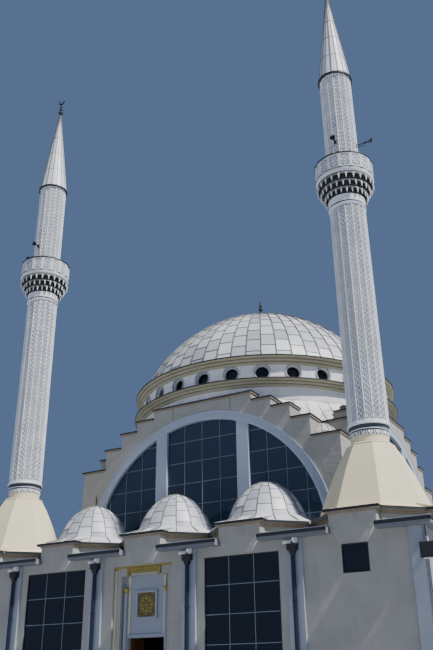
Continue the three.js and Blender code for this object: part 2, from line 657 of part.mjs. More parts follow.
add('ground_floor', groundFloor(), CONCRETE);
add('front_wall_right', frontWallRight(), PLASTER);
add('front_wall_left', mirrored(frontWallRight()), PLASTER);
add('front_glass_right', frontGlassRight(), WINDOW_GLASS);
add('front_glass_left', mirrored(frontGlassRight()), WINDOW_GLASS);
add('wing_wall_right', wingWallRight(), PLASTER);
add('wing_wall_left', mirrored(wingWallRight()), PLASTER);
add('wing_glass_right', wingGlassRight(), WINDOW_GLASS);
add('wing_glass_left', mirrored(wingGlassRight()), WINDOW_GLASS);
add('portal_wall', portalWall(), PLASTER);
add('portal_moulding', portalMoulding(), GOLD_TRIM);
add('portal_plaque', portalPlaque(), GOLD_TRIM);
add('door_leaf_right', doorLeafRight(), DOOR_WOOD);
add('door_leaf_left', mirrored(doorLeafRight()), DOOR_WOOD);
add('front_roof', frontRoof(), STONE);
add('wing_roof_right', wingRoofRight(), STONE);
add('wing_roof_left', mirrored(wingRoofRight()), STONE);

const SIDES = { left: -1, right: 1 };
for (const [name, x] of [['left', -BAY], ['centre', 0], ['right', BAY]]) {
  add(`dome_drum_${name}`, moved(domeDrum(), x, OCTAGON_Y), PLASTER);
  add(`small_dome_${name}`, moved(smallDome(), x, OCTAGON_Y), ROOF_METAL);
}
for (const [name, side] of Object.entries(SIDES)) {
  const x = side * OUTER_BAY_X;
  const base = side > 0 ? minaretBaseRight() : mirrored(minaretBaseRight());
  add(`minaret_base_${name}`, moved(base, x, OCTAGON_Y), CREAM_PLASTER);
  add(`minaret_shaft_${name}`, moved(minaretShaft(), x, OCTAGON_Y), STONE);
  add(`minaret_balcony_${name}`, moved(balcony(), x, OCTAGON_Y), STONE);
  add(`minaret_upper_shaft_${name}`, moved(upperShaft(), x, OCTAGON_Y), STONE);
  add(`minaret_spire_${name}`, moved(spire(), x, OCTAGON_Y), ROOF_METAL);
  add(`loudspeaker_front_${name}`, moved(loudspeaker(HORN.frontReach, 0), x, OCTAGON_Y), HORN_PLASTIC);
  add(`loudspeaker_side_${name}`, moved(loudspeaker(HORN.sideReach, side), x, OCTAGON_Y), HORN_PLASTIC);
}

const HALL_SIDES = { front: 0, right: 1, back: 2, left: 3 };
for (const [name, turns] of Object.entries(HALL_SIDES)) {
  const wall = name === 'back' ? backGable() : gable();
  add(`gable_${name}`, aroundHall(wall, turns), PLASTER);
  add(`lunette_glass_${name}`, aroundHall(lunetteGlass(), turns), WINDOW_GLASS);
}
const CORNERS = { front_right: 0, back_right: 1, back_left: 2, front_left: 3 };
for (const [name, turns] of Object.entries(CORNERS)) {
  add(`corner_roof_${name}`, aroundHall(cornerRoof(), turns), ROOF_METAL);
}
add('back_glass', aroundHall(backGlass(), HALL_SIDES.back), WINDOW_GLASS);

add('drum', drum(), STONE);
add('oculus_glass', oculusGlass(), WINDOW_GLASS);
add('main_dome', mainDome(), ROOF_METAL);
for (const [name, x] of [['outer_left', -1.5 * BAY], ['inner_left', -BAY / 2], ['inner_right', BAY / 2],
  ['outer_right', 1.5 * BAY]]) {
  add(`downpipe_${name}`, moved(downpipe(), x, 0), PIPE_METAL);
}

export default building;
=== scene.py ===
"""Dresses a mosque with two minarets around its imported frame.

Sizes are in metres on the real building, from the middle of the front wall at ground level: X runs
to the right, Y to the back and Z up. The frame is a 1:2 model, so each finished mesh is scaled and
moved once, when it is published.
"""

from __future__ import annotations

import functools
import logging
import math
from dataclasses import dataclass, replace
from enum import IntEnum
from typing import Callable, Iterable, Optional, Sequence, Union

import bmesh
import bpy
from mathutils import Matrix, Vector


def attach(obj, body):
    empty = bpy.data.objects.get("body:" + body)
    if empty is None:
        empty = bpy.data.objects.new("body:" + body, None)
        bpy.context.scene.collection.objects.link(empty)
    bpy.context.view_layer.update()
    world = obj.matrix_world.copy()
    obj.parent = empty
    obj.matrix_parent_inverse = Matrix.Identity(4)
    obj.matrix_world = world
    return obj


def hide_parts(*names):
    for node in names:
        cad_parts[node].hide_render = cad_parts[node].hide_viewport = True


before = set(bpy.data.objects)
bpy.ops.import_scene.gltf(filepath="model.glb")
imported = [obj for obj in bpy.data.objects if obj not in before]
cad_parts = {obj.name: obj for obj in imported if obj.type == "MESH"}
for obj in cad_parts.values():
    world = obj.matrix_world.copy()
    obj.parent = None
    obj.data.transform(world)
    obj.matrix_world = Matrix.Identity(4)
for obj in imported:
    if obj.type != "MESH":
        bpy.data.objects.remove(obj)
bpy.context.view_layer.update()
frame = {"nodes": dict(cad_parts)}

LOG = logging.getLogger("mosque")
MODEL_SCALE = 0.5
MILLIMETRE = MODEL_SCALE / 1000
# Points closer than this become one
MERGE = 1e-5
# An edge over this angle stays sharp
SHARP = math.radians(32)
QUARTER = math.pi / 2
EIGHTH = math.pi / 4

Point = tuple[float, float, float]
Pair = tuple[float, float]
Profile = Sequence[Pair]


class Side(IntEnum):
    """Sides of the building, in quarter turns from the front."""

    FRONT = 0
    RIGHT = 1
    BACK = 2
    LEFT = 3


HANDS = {"left": -1, "right": 1}
BOTH = tuple(HANDS.values())
CORNERS = tuple((x, z) for x in BOTH for z in BOTH)


def move(x: float = 0.0, y: float = 0.0, z: float = 0.0) -> Matrix:
    """Moves along the three axes."""
    return Matrix.Translation((x, y, z))


def turn(angle: float, axis: str = "Z") -> Matrix:
    """Turns about an axis through the origin."""
    return Matrix.Rotation(angle, 4, axis)


@dataclass(frozen=True)
class Plan:
    """Driving dimensions of the building."""

    bay: float = 5.2
    outer_bay: float = 10.6
    half_width: float = 13.3
    depth: float = 21.8
    wall: float = 0.3
    hall_half: float = 8.25
    eave: float = 0.45
    floor_top: float = 0.3
    roof_underside: float = 7.2
    roof_top: float = 7.45
    pilaster_half: float = 0.35
    pilaster_depth: float = 0.1
    corner_pilaster: float = 0.55
    octagon_y: float = 2.82
    octagon_flat: float = 2.42
    octagon_eave: float = 2.62
    octagon_eave_bottom: float = 8.07
    octagon_eave_top: float = 8.17
    octagon_seat: float = 2.1
    outer_pier: float = 10.47
    pier_half: float = 1.03
    pier_tip_half: float = 0.55
    pier_tip: float = 6.8
    pier_shoulder: float = 7.55
    pier_eave_half: float = 1.2
    pier_eave: float = 0.25
    pier_ridge: float = 8.44
    pier_ridge_reach: float = 2.0

    @property
    def hall_y(self) -> float:
        """Distance of the hall's middle behind the front wall."""
        return self.depth - self.hall_half

    @property
    def hall_front(self) -> float:
        """Distance of the front gable's face behind the front wall."""
        return self.hall_y - self.hall_half

    @property
    def octagon_back(self) -> float:
        """How far what stands on an octagon may reach behind its axis, short of the hall."""
        return self.hall_front - self.octagon_y - 0.01

    @property
    def side_bay(self) -> float:
        """Width of the three bays of a side wall."""
        return (self.depth - self.hall_front) / 3

    @property
    def pier_x(self) -> tuple[float, ...]:
        """Middles of the piers along the front."""
        return -self.outer_pier, -self.bay, 0.0, self.bay, self.outer_pier

    def to_model(self) -> Matrix:
        """Moves and scales from the real building to the frame."""
        return Matrix.Scale(MODEL_SCALE, 4) @ move(0, -self.depth / 2)

    def on_wall(self, side: Side) -> Matrix:
        """Moves onto a wall what is drawn about that wall's middle, with Y going in."""
        distance = self.half_width if side in (Side.RIGHT, Side.LEFT) else self.depth / 2
        return move(0, self.depth / 2) @ turn(side * QUARTER) @ move(0, -distance)

    def on_hall(self, side: Side) -> Matrix:
        """Moves onto a side of the hall what is drawn on its front gable, with Y going in."""
        return move(0, self.hall_y) @ turn(side * QUARTER) @ move(0, -self.hall_half)

    def at_octagon(self, x: float) -> Matrix:
        """Moves to the axis of an octagon what is drawn about that axis."""
        return move(x, self.octagon_y)


PLAN = Plan()


# Meshes


class Form:
    """A mesh in the making, in metres on the real building."""

    def __init__(self) -> None:
        """Starts an empty mesh."""
        self.mesh = bmesh.new()

    def add(self, part: Form, places: Iterable[Matrix] = (Matrix(),)) -> Form:
        """Joins copies of another form.

        Args:
            part: The form to copy.
            places: One move for each copy.

        Returns:
            This form.
        """
        for place in places:
            copy = bpy.data.meshes.new("part")
            part.mesh.to_mesh(copy)
            copy.transform(place)
            self.mesh.from_mesh(copy)
            bpy.data.meshes.remove(copy)
        return self

    def tidy(self) -> Form:
        """Merges doubles and turns the faces outwards."""
        bmesh.ops.remove_doubles(self.mesh, verts=self.mesh.verts, dist=MERGE)
        bmesh.ops.recalc_face_normals(self.mesh, faces=self.mesh.faces)
        return self

    def clipped(self, axis: int, place: float) -> Form:
        """Cuts away what lies beyond a plane across X or Y, on the side away from the origin.

        Args:
            axis: 0 for X and 1 for Y.
            place: Where the plane is.

        Returns:
            This form, closed at the cut.
        """
        outwards = Vector((0, 0, 0))
        outwards[axis] = math.copysign(1.0, place)
        everything = [*self.mesh.verts, *self.mesh.edges, *self.mesh.faces]
        bmesh.ops.bisect_plane(
            self.mesh, geom=everything, dist=MERGE, plane_co=outwards * abs(place), plane_no=outwards,
            clear_outer=True,
        )
        return self.close_holes()

    def stopped(self, half: float) -> Form:
        """Stops what is drawn about an octagon's axis at its neighbours and at the hall."""
        return self.clipped(0, half).clipped(0, -half).clipped(1, PLAN.octagon_back)

    def close_holes(self) -> Form:
        """Puts a face on each open loop."""
        edges = [edge for edge in self.mesh.edges if edge.is_boundary]
        bmesh.ops.holes_fill(self.mesh, edges=edges, sides=0)
        return self.tidy()

    def narrow(self, factor: Callable[[float], float]) -> Form:
        """Scales each level about the Z axis by a factor that depends on its height."""
        for vertex in self.mesh.verts:
            vertex.co.xy *= factor(vertex.co.z)
        return self


def block(low: Point, high: Point, bevel: float = 0.0) -> Form:
    """Makes a box with broken edges.

    Args:
        low: One corner.
        high: The corner across from it.
        bevel: How much its edges are broken.

    Returns:
        The box.
    """
    form = Form()
    middle = (Vector(low) + Vector(high)) / 2
    size = [abs(far - near) for near, far in zip(low, high)]
    place = Matrix.Translation(middle) @ Matrix.Diagonal((*size, 1.0))
    bmesh.ops.create_cube(form.mesh, size=1.0, matrix=place)
    if bevel:
        bmesh.ops.bevel(
            form.mesh, geom=form.mesh.edges[:], offset=bevel, offset_type="OFFSET", segments=1,
            profile=0.5, affect="EDGES", material=-1,
        )
    return form


def turned(
    profile: Profile, segments: int, closed: bool = False, start: Optional[float] = None,
    sweep: float = math.tau,
) -> Form:
    """Turns a profile about the Z axis, with a flat side to the front.

    Args:
        profile: Radius and height of its points.
        segments: How many sides the turn has.
        closed: Whether the last point joins the first.
        start: Angle of the first side, if it isn't set by the flat side.
        sweep: How far it turns.

    Returns:
        The closed shape.
    """
    form = Form()
    angle = math.pi / segments - QUARTER if start is None else start
    across, along = math.cos(angle), math.sin(angle)
    points = [form.mesh.verts.new((radius * across, radius * along, height)) for radius, height in profile]
    following = points[1:] + points[:1] if closed else points[1:]
    edges = [form.mesh.edges.new(pair) for pair in zip(points, following)]
    whole = math.isclose(sweep, math.tau)
    bmesh.ops.spin(
        form.mesh, geom=points + edges, axis=(0, 0, 1), cent=(0, 0, 0), angle=sweep, steps=segments,
        use_merge=whole,
    )
    return form.tidy() if whole else form.close_holes()


def rod(radius: float, low: float, high: float, segments: int) -> Form:
    """Makes a round bar about the Z axis."""
    return turned([(0, low), (radius, low), (radius, high), (0, high)], segments)


def collar(inner: float, outer: float, low: float, high: float, segments: int) -> Form:
    """Makes a square-edged ring about the Z axis."""
    return turned([(inner, low), (outer, low), (outer, high), (inner, high)], segments, closed=True)


def stud(base: float, tip: float, height: float, sides: int, place: Matrix) -> Form:
    """Makes a short cone with flat ends about the middle of its height.

    Args:
        base: Radius of its foot.
        tip: Radius of its head.
        height: Its height.
        sides: How many sides it has.
        place: Where its middle goes.

    Returns:
        The cone.
    """
    form = Form()
    bmesh.ops.create_cone(
        form.mesh, cap_ends=True, cap_tris=False, segments=sides, radius1=base, radius2=tip, depth=height,
        matrix=place,
    )
    return form


def pushed(form: Form, depth: float) -> Form:
    """Gives a flat form a depth along Y.

    Args:
        form: Faces in one plane.
        depth: How far they are pushed.

    Returns:
        The closed form.
    """
    made = bmesh.ops.extrude_face_region(form.mesh, geom=form.mesh.faces[:])["geom"]
    points = [part for part in made if isinstance(part, bmesh.types.BMVert)]
    bmesh.ops.translate(form.mesh, vec=(0, depth, 0), verts=points)
    return form.tidy()


def prism(outline: Profile, y0: float, y1: float) -> Form:
    """Pushes an outline in X and Z along Y.

    Args:
        outline: Its corners.
        y0: Where it starts.
        y1: Where it ends.

    Returns:
        The closed prism.
    """
    form = Form()
    form.mesh.faces.new([form.mesh.verts.new((x, y0, z)) for x, z in outline])
    return pushed(form, y1 - y0)


def hoop(outer: Profile, inner: Profile, y0: float, y1: float, closed: bool = False) -> Form:
    """Makes a flat bar between two lines in X and Z.

    Args:
        outer: Points of the outer line.
        inner: As many points of the inner line.
        y0: Where its depth starts.
        y1: Where its depth ends.
        closed: Whether the lines run round.

    Returns:
        The closed bar.
    """
    form = Form()
    near, far = ([form.mesh.verts.new((x, y0, z)) for x, z in line] for line in (outer, inner))
    count = len(near)
    for i in range(count if closed else count - 1):
        following = (i + 1) % count
        form.mesh.faces.new((near[i], near[following], far[following], far[i]))
    return pushed(form, y1 - y0)


def ridge(path: Profile, width: float, height: float) -> Form:
    """Makes a carved strand with a sharp back, which stands out from a panel towards the front.

    Args:
        path: Points in X and Z, upwards.
        width: Its width.
        height: How far it stands out.

    Returns:
        The closed strand.
    """
    form = Form()
    x0, z0 = path[0]
    section = [(-width / 2, 0.0), (0.0, -height), (width / 2, 0.0)]
    points = [form.mesh.verts.new((x0 + x, y, z0)) for x, y in section]
    form.mesh.faces.new(points)
    edges = [form.mesh.edges.get(pair) for pair in zip(points, points[1:] + points[:1])]
    for (x, z), (next_x, next_z) in zip(path, path[1:]):
        made = bmesh.ops.extrude_edge_only(form.mesh, edges=edges)["geom"]
        points = [part for part in made if isinstance(part, bmesh.types.BMVert)]
        edges = [
            part for part in made
            if isinstance(part, bmesh.types.BMEdge) and all(point in points for point in part.verts)
        ]
        bmesh.ops.translate(form.mesh, vec=(next_x - x, 0, next_z - z), verts=points)
    form.mesh.faces.new(points)
    return form.tidy()


def gate(half: float, foot: float, head: float) -> Profile:
    """Corners of an upright rectangle about X = 0, from its left foot over its head to its right foot."""
    return [(-half, foot), (-half, head), (half, head), (half, foot)]


def polygon(radius: float, sides: int, start: float = 0.0, x: float = 0.0, z: float = 0.0) -> Profile:
    """Corners of a regular polygon about a point in X and Z, from the angle of the first one."""
    angles = [start + math.tau * i / sides for i in range(sides)]
    return [(x + radius * math.cos(angle), z + radius * math.sin(angle)) for angle in angles]


def arc(radius: float, z: float, steps: int, start: float = 0.0, end: float = math.pi) -> Profile:
    """Points of an arc about X = 0 and a height, between two angles."""
    angles = [start + (end - start) * i / steps for i in range(steps + 1)]
    return [(radius * math.cos(angle), z + radius * math.sin(angle)) for angle in angles]


def around(count: int, distance: float = 0.0, offset: float = 0.0) -> list[Matrix]:
    """Places at equal angles about the Z axis, each facing out as the front does.

    Args:
        count: How many places.
        distance: How far from the axis.
        offset: Share of a step by which the places are turned.

    Returns:
        The places.
    """
    return [turn(math.tau * (i + offset) / count) @ move(0, -distance) for i in range(count)]


def upright_to_front(x: float, y: float, z: float) -> Matrix:
    """Turns what was made upright so that its top looks to the front, and moves it."""
    return move(x, y, z) @ turn(QUARTER, "X")


# Finishes


Tree = bpy.types.NodeTree
Socket = bpy.types.NodeSocket

# Numbers of the Mix node's sockets for colours
MIX_A = 6
MIX_B = 7
MIX_RESULT = 2


def linear(colour: str) -> tuple[float, float, float, float]:
    """Turns an sRGB hex value such as #C8C2B0 into linear red, green, blue and alpha."""
    shares = [int(colour[i:i + 2], 16) / 255 for i in (1, 3, 5)]
    return *(share / 12.92 if share <= 0.04045 else ((share + 0.055) / 1.055) ** 2.4 for share in shares), 1.0


def add_node(
    tree: Tree, kind: str, inputs: Optional[dict[Union[int, str], object]] = None, **settings: object
) -> bpy.types.Node:
    """Adds a node with its settings and links.

    Args:
        tree: The material's tree.
        kind: The node's type.
        inputs: A value or a socket for each named or numbered input.
        **settings: Values of the node itself.

    Returns:
        The node.
    """
    node = tree.nodes.new(kind)
    for name, value in settings.items():
        setattr(node, name, value)
    for socket, value in (inputs or {}).items():
        if isinstance(value, bpy.types.NodeSocket):
            tree.links.new(value, node.inputs[socket])
        else:
            node.inputs[socket].default_value = value
    return node


@dataclass(frozen=True)
class Finish:
    """A surface finish with one colour, a fine grain and the shader's own values.

    Its further colours are those of its patches, of its stains and of its third tone.
    """

    name: str
    slot: str
    colours: tuple[str, ...]
    roughness: float = 0.8
    metallic: float = 0.0
    grain_mm: float = 60.0
    grain_height_mm: float = 0.0

    def tint(self, tree: Tree, position: Socket) -> Optional[Socket]:
        """Gives the colour where it isn't the same all over."""
        return None

    def build(self) -> bpy.types.Material:
        """Builds the material's nodes."""
        material = bpy.data.materials.new(self.name)
        material.use_nodes = True
        tree = material.node_tree
        tree.nodes.clear()
        position = add_node(tree, "ShaderNodeTexCoord").outputs["Object"]
        inputs = {
            "Base Color": self.tint(tree, position) or linear(self.colours[0]),
            "Roughness": self.roughness,
            "Metallic": self.metallic,
        }
        if self.grain_height_mm:
            grain = add_node(tree, "ShaderNodeTexNoise", {
                "Vector": position, "Scale": 1 / (self.grain_mm * MILLIMETRE), "Detail": 4.0,
            })
            inputs["Normal"] = add_node(tree, "ShaderNodeBump", {
                "Strength": 1.0, "Distance": self.grain_height_mm * MILLIMETRE, "Height": grain.outputs[0],
            }).outputs[0]
        shader = add_node(tree, "ShaderNodeBsdfPrincipled", inputs)
        add_node(tree, "ShaderNodeOutputMaterial", {"Surface": shader.outputs[0]})
        return material


@dataclass(frozen=True)
class Mineral(Finish):
    """Render, stone or paint: broad patches, rain streaks down the face and a fine grain."""

    patch_mm: float = 1400.0
    patches: float = 0.6
    streaks: float = 0.3
    streak_mm: float = 160.0

    def tint(self, tree: Tree, position: Socket) -> Socket:
        """Mixes patches and streaks into the colour."""
        colour, shade, stain = (linear(value) for value in self.colours[:3])
        patch = add_node(tree, "ShaderNodeTexNoise", {
            "Vector": position, "Scale": 1 / (self.patch_mm * MILLIMETRE), "Detail": 6.0, "Roughness": 0.62,
        })
        patchy = add_node(tree, "ShaderNodeMapRange", {
            "Value": patch.outputs[0], "From Min": 0.38, "From Max": 0.68, "To Max": self.patches,
        })
        ground = add_node(tree, "ShaderNodeMix", {
            "Factor": patchy.outputs[0], MIX_A: colour, MIX_B: shade,
        }, data_type="RGBA")
        narrow = 1 / (self.streak_mm * MILLIMETRE)
        stretched = add_node(tree, "ShaderNodeMapping", {
            "Vector": position, "Scale": (narrow, narrow, narrow / 16),
        })
        run = add_node(tree, "ShaderNodeTexNoise", {
            "Vector": stretched.outputs[0], "Scale": 1.0, "Detail": 3.0,
        })
        runs = add_node(tree, "ShaderNodeMapRange", {
            "Value": run.outputs[0], "From Min": 0.5, "From Max": 0.8, "To Max": self.streaks,
        })
        return add_node(tree, "ShaderNodeMix", {
            "Factor": runs.outputs[0], MIX_A: ground.outputs[MIX_RESULT], MIX_B: stain,
        }, data_type="RGBA").outputs[MIX_RESULT]


@dataclass(frozen=True)
class RoofSlab(Mineral):
    """A painted concrete slab whose top has strips of grey roofing felt."""

    felt: str = "#8C8E8C"
    felt_edge: str = "#5E605F"
    strip_mm: float = 1000.0

    def tint(self, tree: Tree, position: Socket) -> Socket:
        """Adds the felt and its laps on faces that look up."""
        painted = super().tint(tree, position)
        apart = add_node(tree, "ShaderNodeSeparateXYZ", {0: position})
        strip = self.strip_mm * MILLIMETRE
        across = add_node(tree, "ShaderNodeMath", {0: apart.outputs[0], 1: strip}, operation="PINGPONG")
        lap = add_node(tree, "ShaderNodeMath", {0: across.outputs[0], 1: strip * 0.04}, operation="LESS_THAN")
        felt = add_node(tree, "ShaderNodeMix", {
            "Factor": lap.outputs[0], MIX_A: linear(self.felt), MIX_B: linear(self.felt_edge),
        }, data_type="RGBA")
        normal = add_node(tree, "ShaderNodeNewGeometry").outputs["Normal"]
        looking = add_node(tree, "ShaderNodeSeparateXYZ", {0: normal})
        upwards = add_node(tree, "ShaderNodeMath", {0: looking.outputs[2], 1: 0.7}, operation="GREATER_THAN")
        return add_node(tree, "ShaderNodeMix", {
            "Factor": upwards.outputs[0], MIX_A: painted, MIX_B: felt.outputs[MIX_RESULT],
        }, data_type="RGBA").outputs[MIX_RESULT]


@dataclass(frozen=True)
class Sheet(Mineral):
    """Weathered pale roof sheet: each sheet has its own tone, with a grey bloom and brown runs."""

    dull: str = "#999CA5"
    spread: float = 0.75

    def tint(self, tree: Tree, position: Socket) -> Socket:
        """Mixes each sheet's own tone into the colour."""
        weathered = super().tint(tree, position)
        tone = add_node(tree, "ShaderNodeAttribute", attribute_name="tone")
        share = add_node(tree, "ShaderNodeMath", {0: tone.outputs["Fac"], 1: self.spread}, operation="MULTIPLY")
        return add_node(tree, "ShaderNodeMix", {
            "Factor": share.outputs[0], MIX_A: weathered, MIX_B: linear(self.dull),
        }, data_type="RGBA").outputs[MIX_RESULT]


@dataclass(frozen=True)
class Timber(Finish):
    """Varnished hardwood with its grain upright."""

    grain_width_mm: float = 45.0

    def tint(self, tree: Tree, position: Socket) -> Socket:
        """Mixes dark grain into the colour."""
        light, dark = (linear(value) for value in self.colours)
        fine = 1 / (self.grain_width_mm * MILLIMETRE)
        stretched = add_node(tree, "ShaderNodeMapping", {"Vector": position, "Scale": (fine, fine, fine / 14)})
        grain = add_node(tree, "ShaderNodeTexNoise", {
            "Vector": stretched.outputs[0], "Scale": 1.0, "Detail": 7.0, "Distortion": 0.6,
        })
        share = add_node(tree, "ShaderNodeMapRange", {
            "Value": grain.outputs[0], "From Min": 0.35, "From Max": 0.7,
        })
        return add_node(tree, "ShaderNodeMix", {
            "Factor": share.outputs[0], MIX_A: light, MIX_B: dark,
        }, data_type="RGBA").outputs[MIX_RESULT]


# Cement render, sprayed and painted: no gloss, a coarse grain that catches grazing light
WALL_RENDER = Mineral(
    "wall_render", "wall_plaster", ("#B5B2AA", "#A3A097", "#858178"), 0.92,
    grain_mm=230, grain_height_mm=16, patches=0.7, streaks=0.12,
)
# Smooth cream masonry paint on render: warm, matt and nearly even
CREAM_RENDER = Mineral(
    "cream_render", "cream_plaster", ("#F6E9C2", "#EDDDB2", "#D2C298"), 0.85,
    grain_mm=90, grain_height_mm=3, patches=0.4, streaks=0.12,
)
# White masonry paint on the flat strips, given a darker blue-grey as painted sky-lit shade: cooler and smoother
# than the render beside it
STRIP_PAINT = Mineral(
    "strip_paint", "pale_stone", ("#A6ACB6", "#999FA9", "#80868F"),
    grain_mm=90, grain_height_mm=2, patches=0.5, streaks=0.15,
)
# White masonry paint, given a paler blue-grey as painted sky-lit shade, which sets the arch band and its posts
# off
ARCH_PAINT = Mineral(
    "arch_paint", "pale_stone", ("#B7C0CF", "#A9B2C2", "#929BAB"),
    grain_mm=90, grain_height_mm=2, patches=0.5, streaks=0.12,
)
# Pale yellow masonry paint: a faint glow on the jambs of the portal
JAMB_PAINT = Mineral(
    "jamb_paint", "gold_trim", ("#DCD6B8", "#CFC8A6", "#B0A884"),
    grain_mm=90, grain_height_mm=2, patches=0.5, streaks=0.15,
)
# Cast stone painted white: bright carving, greyed by soot in its hollows
CAST_STONE = Mineral(
    "cast_stone", "pale_stone", ("#F8F9FA", "#D2D4D9", "#AEB1B7"), 0.85,
    grain_mm=50, grain_height_mm=3, patch_mm=700, streaks=0.25,
)
# Grey cast stone: a quiet ground behind the ornament of the parapet panels. On the drum's window rings the grey
# is painted shade in the reveals
PANEL_STONE = Mineral(
    "panel_stone", "pale_stone", ("#B4B7BD", "#9A9DA3", "#74777C"), 0.85, grain_height_mm=3, patch_mm=600,
)
# Olive-grey cast stone on the corbels of the balconies, with dirty patches and streaks, darkened overall as
# painted shade under the balcony
CORBEL_STONE = Mineral(
    "corbel_stone", "pale_stone", ("#96968E", "#7C7C73", "#55554D"), 0.9,
    grain_mm=50, grain_height_mm=4, patch_mm=400, patches=0.7, streaks=0.4,
)
# Nearly black at the back of the corbel niches: painted shade, which gives them depth. The same dark draws the
# joints in the gable render
NICHE_SHADE_AND_JOINTS = Mineral(
    "niche_shade_and_joints", "pale_stone", ("#3E403E", "#323432", "#242624"), 0.95,
    grain_mm=50, grain_height_mm=3, patch_mm=400, patches=0.5, streaks=0.2,
)
# Dark grey on the shafts' ground behind the carving, the frieze's cove and the neck: painted shade, the dark
# ground that makes the carving readable from far
CARVED_GROUND = Mineral(
    "carved_ground", "pale_stone", ("#4B525E", "#3F4551", "#2F343E"), 0.9,
    grain_mm=50, grain_height_mm=3, patch_mm=700, streaks=0.2,
)
# Khaki masonry paint, which draws the drum's mouldings as warm lines
CORNICE_PAINT = Mineral(
    "cornice_paint", "cream_plaster", ("#B5AF96", "#A19B83", "#77725E"), 0.85,
    grain_mm=80, grain_height_mm=2, patches=0.5, streaks=0.12,
)
# Brown weathered paint on boards and mouldings: a dull shadow line under the eaves
SOFFIT_PAINT = Mineral(
    "soffit_paint", "cream_plaster", ("#A39582", "#887B69", "#5F5647"), 0.85,
    grain_mm=80, grain_height_mm=2, patch_mm=500, patches=0.7, streaks=0.2,
)
# Float-finished concrete: matt and stained where water stands
FLOOR_CONCRETE = Mineral(
    "floor_concrete", "floor_concrete", ("#A3A19B", "#85837D", "#625F58"), 0.95,
    grain_mm=40, grain_height_mm=3, patches=0.8, streaks=0.5,
)
# Painted concrete edges under roofing felt, with a lap at each strip
ROOF_SLAB = RoofSlab(
    "roof_slab", "pale_stone", ("#84868B", "#74767B", "#5A5C60"), 0.9, grain_height_mm=3, streaks=0.2,
)
# Galvanised sheet under old white paint: a soft sheen, gentle dents and pale brown dirt
DOME_SHEET = Sheet(
    "dome_sheet", "roof_sheet", ("#F2F2F1", "#E2E2E1", "#B5B0A6"), 0.5, 0.1, 400, 6,
    patch_mm=900, patches=0.5, streaks=0.25,
)
# The same sheet with brown run-off stains, in the corners between the gables
STAINED_SHEET = Sheet(
    "stained_sheet", "roof_sheet", ("#E6E2DA", "#C9BFB0", "#8A6F56"), 0.6, 0.05, 400, 6,
    patch_mm=450, patches=0.9, streaks=0.5,
)
# Grey-brown edges of the sheets, partly weathering and partly painted shade beside the seams and under the
# laps: lines that draw the seams and laps
SEAM_SHEET = Mineral(
    "seam_sheet", "roof_sheet", ("#7F7B74", "#67635D", "#4A4742"), 0.6, 0.1, 60, 1, patch_mm=500, streaks=0.15,
)
# Folded sheet in near-black satin paint: crisp dark lines at the eaves, steps and copings
EDGE_SHEET = Mineral(
    "edge_sheet", "dark_sheet", ("#2A2A2C", "#3A3836", "#1B1B1C"), 0.55, 0.1, 60, 1, patch_mm=600, streaks=0.2,
)
# Dark blue satin enamel on steel pipe: a narrow highlight down its length
PIPE_ENAMEL = Mineral(
    "pipe_enamel", "pipe_paint", ("#141C33", "#1E2740", "#3A4150"), 0.4,
    grain_mm=80, grain_height_mm=1, patch_mm=500, patches=0.5, streaks=0.2,
)
# Tinted float glass: nearly black from outside, a clear reflection, slightly uneven panes
TINTED_GLASS = Finish("tinted_glass", "window_glass", ("#0E1622",), 0.06, grain_mm=1600, grain_height_mm=6)
# The same glass in the arches, painted lighter as light that comes through from behind
LUNETTE_GLASS = Finish("lunette_glass", "window_glass", ("#2B3D4F",), 0.08, grain_mm=1600, grain_height_mm=6)
# Grey anodised aluminium sections: thin pale lines across the glass, with a low sheen
FRAME_ALUMINIUM = Mineral(
    "frame_aluminium", "pale_stone", ("#8B94A2", "#79818F", "#5F6672"), 0.5, 0.2, 200, 1,
    patch_mm=500, patches=0.4, streaks=0.2,
)
# Gold paint on carved wood and plaster: warm, half metallic, worn darker in places
GOLD_PAINT = Mineral(
    "gold_paint", "gold_trim", ("#B09C50", "#8C7B45", "#655830"), 0.5, 0.25, 60, 1, patch_mm=250, streaks=0.2,
)
# Old bronze paint on the carved board, darker than the gilding on it
PLAQUE_GROUND = Mineral(
    "plaque_ground", "gold_trim", ("#75664A", "#5E4726", "#3C2D18"), 0.6, 0.2, 30, 2,
    patch_mm=150, patches=0.7, streaks=0.1,
)
# Varnished hardwood: dark upright grain under a satin coat
DOOR_TIMBER = Timber("door_timber", "door_wood", ("#7A5230", "#3A2314"), 0.4, grain_mm=45, grain_height_mm=1)
# Weathered dark grey moulded plastic on the horns
HORN_PLASTIC = Mineral(
    "horn_plastic", "horn_plastic", ("#303235", "#26282B", "#4A4B4D"), 0.6,
    grain_height_mm=1, patch_mm=300, patches=0.5,
)
# White moulded plastic of the roof outlets, clean and faintly glossy
WHITE_PLASTIC = Mineral(
    "white_plastic", "horn_plastic", ("#F6F6F5", "#E8E8E6", "#C9C8C4"), 0.5,
    grain_height_mm=1, patch_mm=300, patches=0.5, streaks=0.2,
)


@functools.cache
def material_of(finish: Finish) -> bpy.types.Material:
    """Gives the one material of a finish."""
    return finish.build()


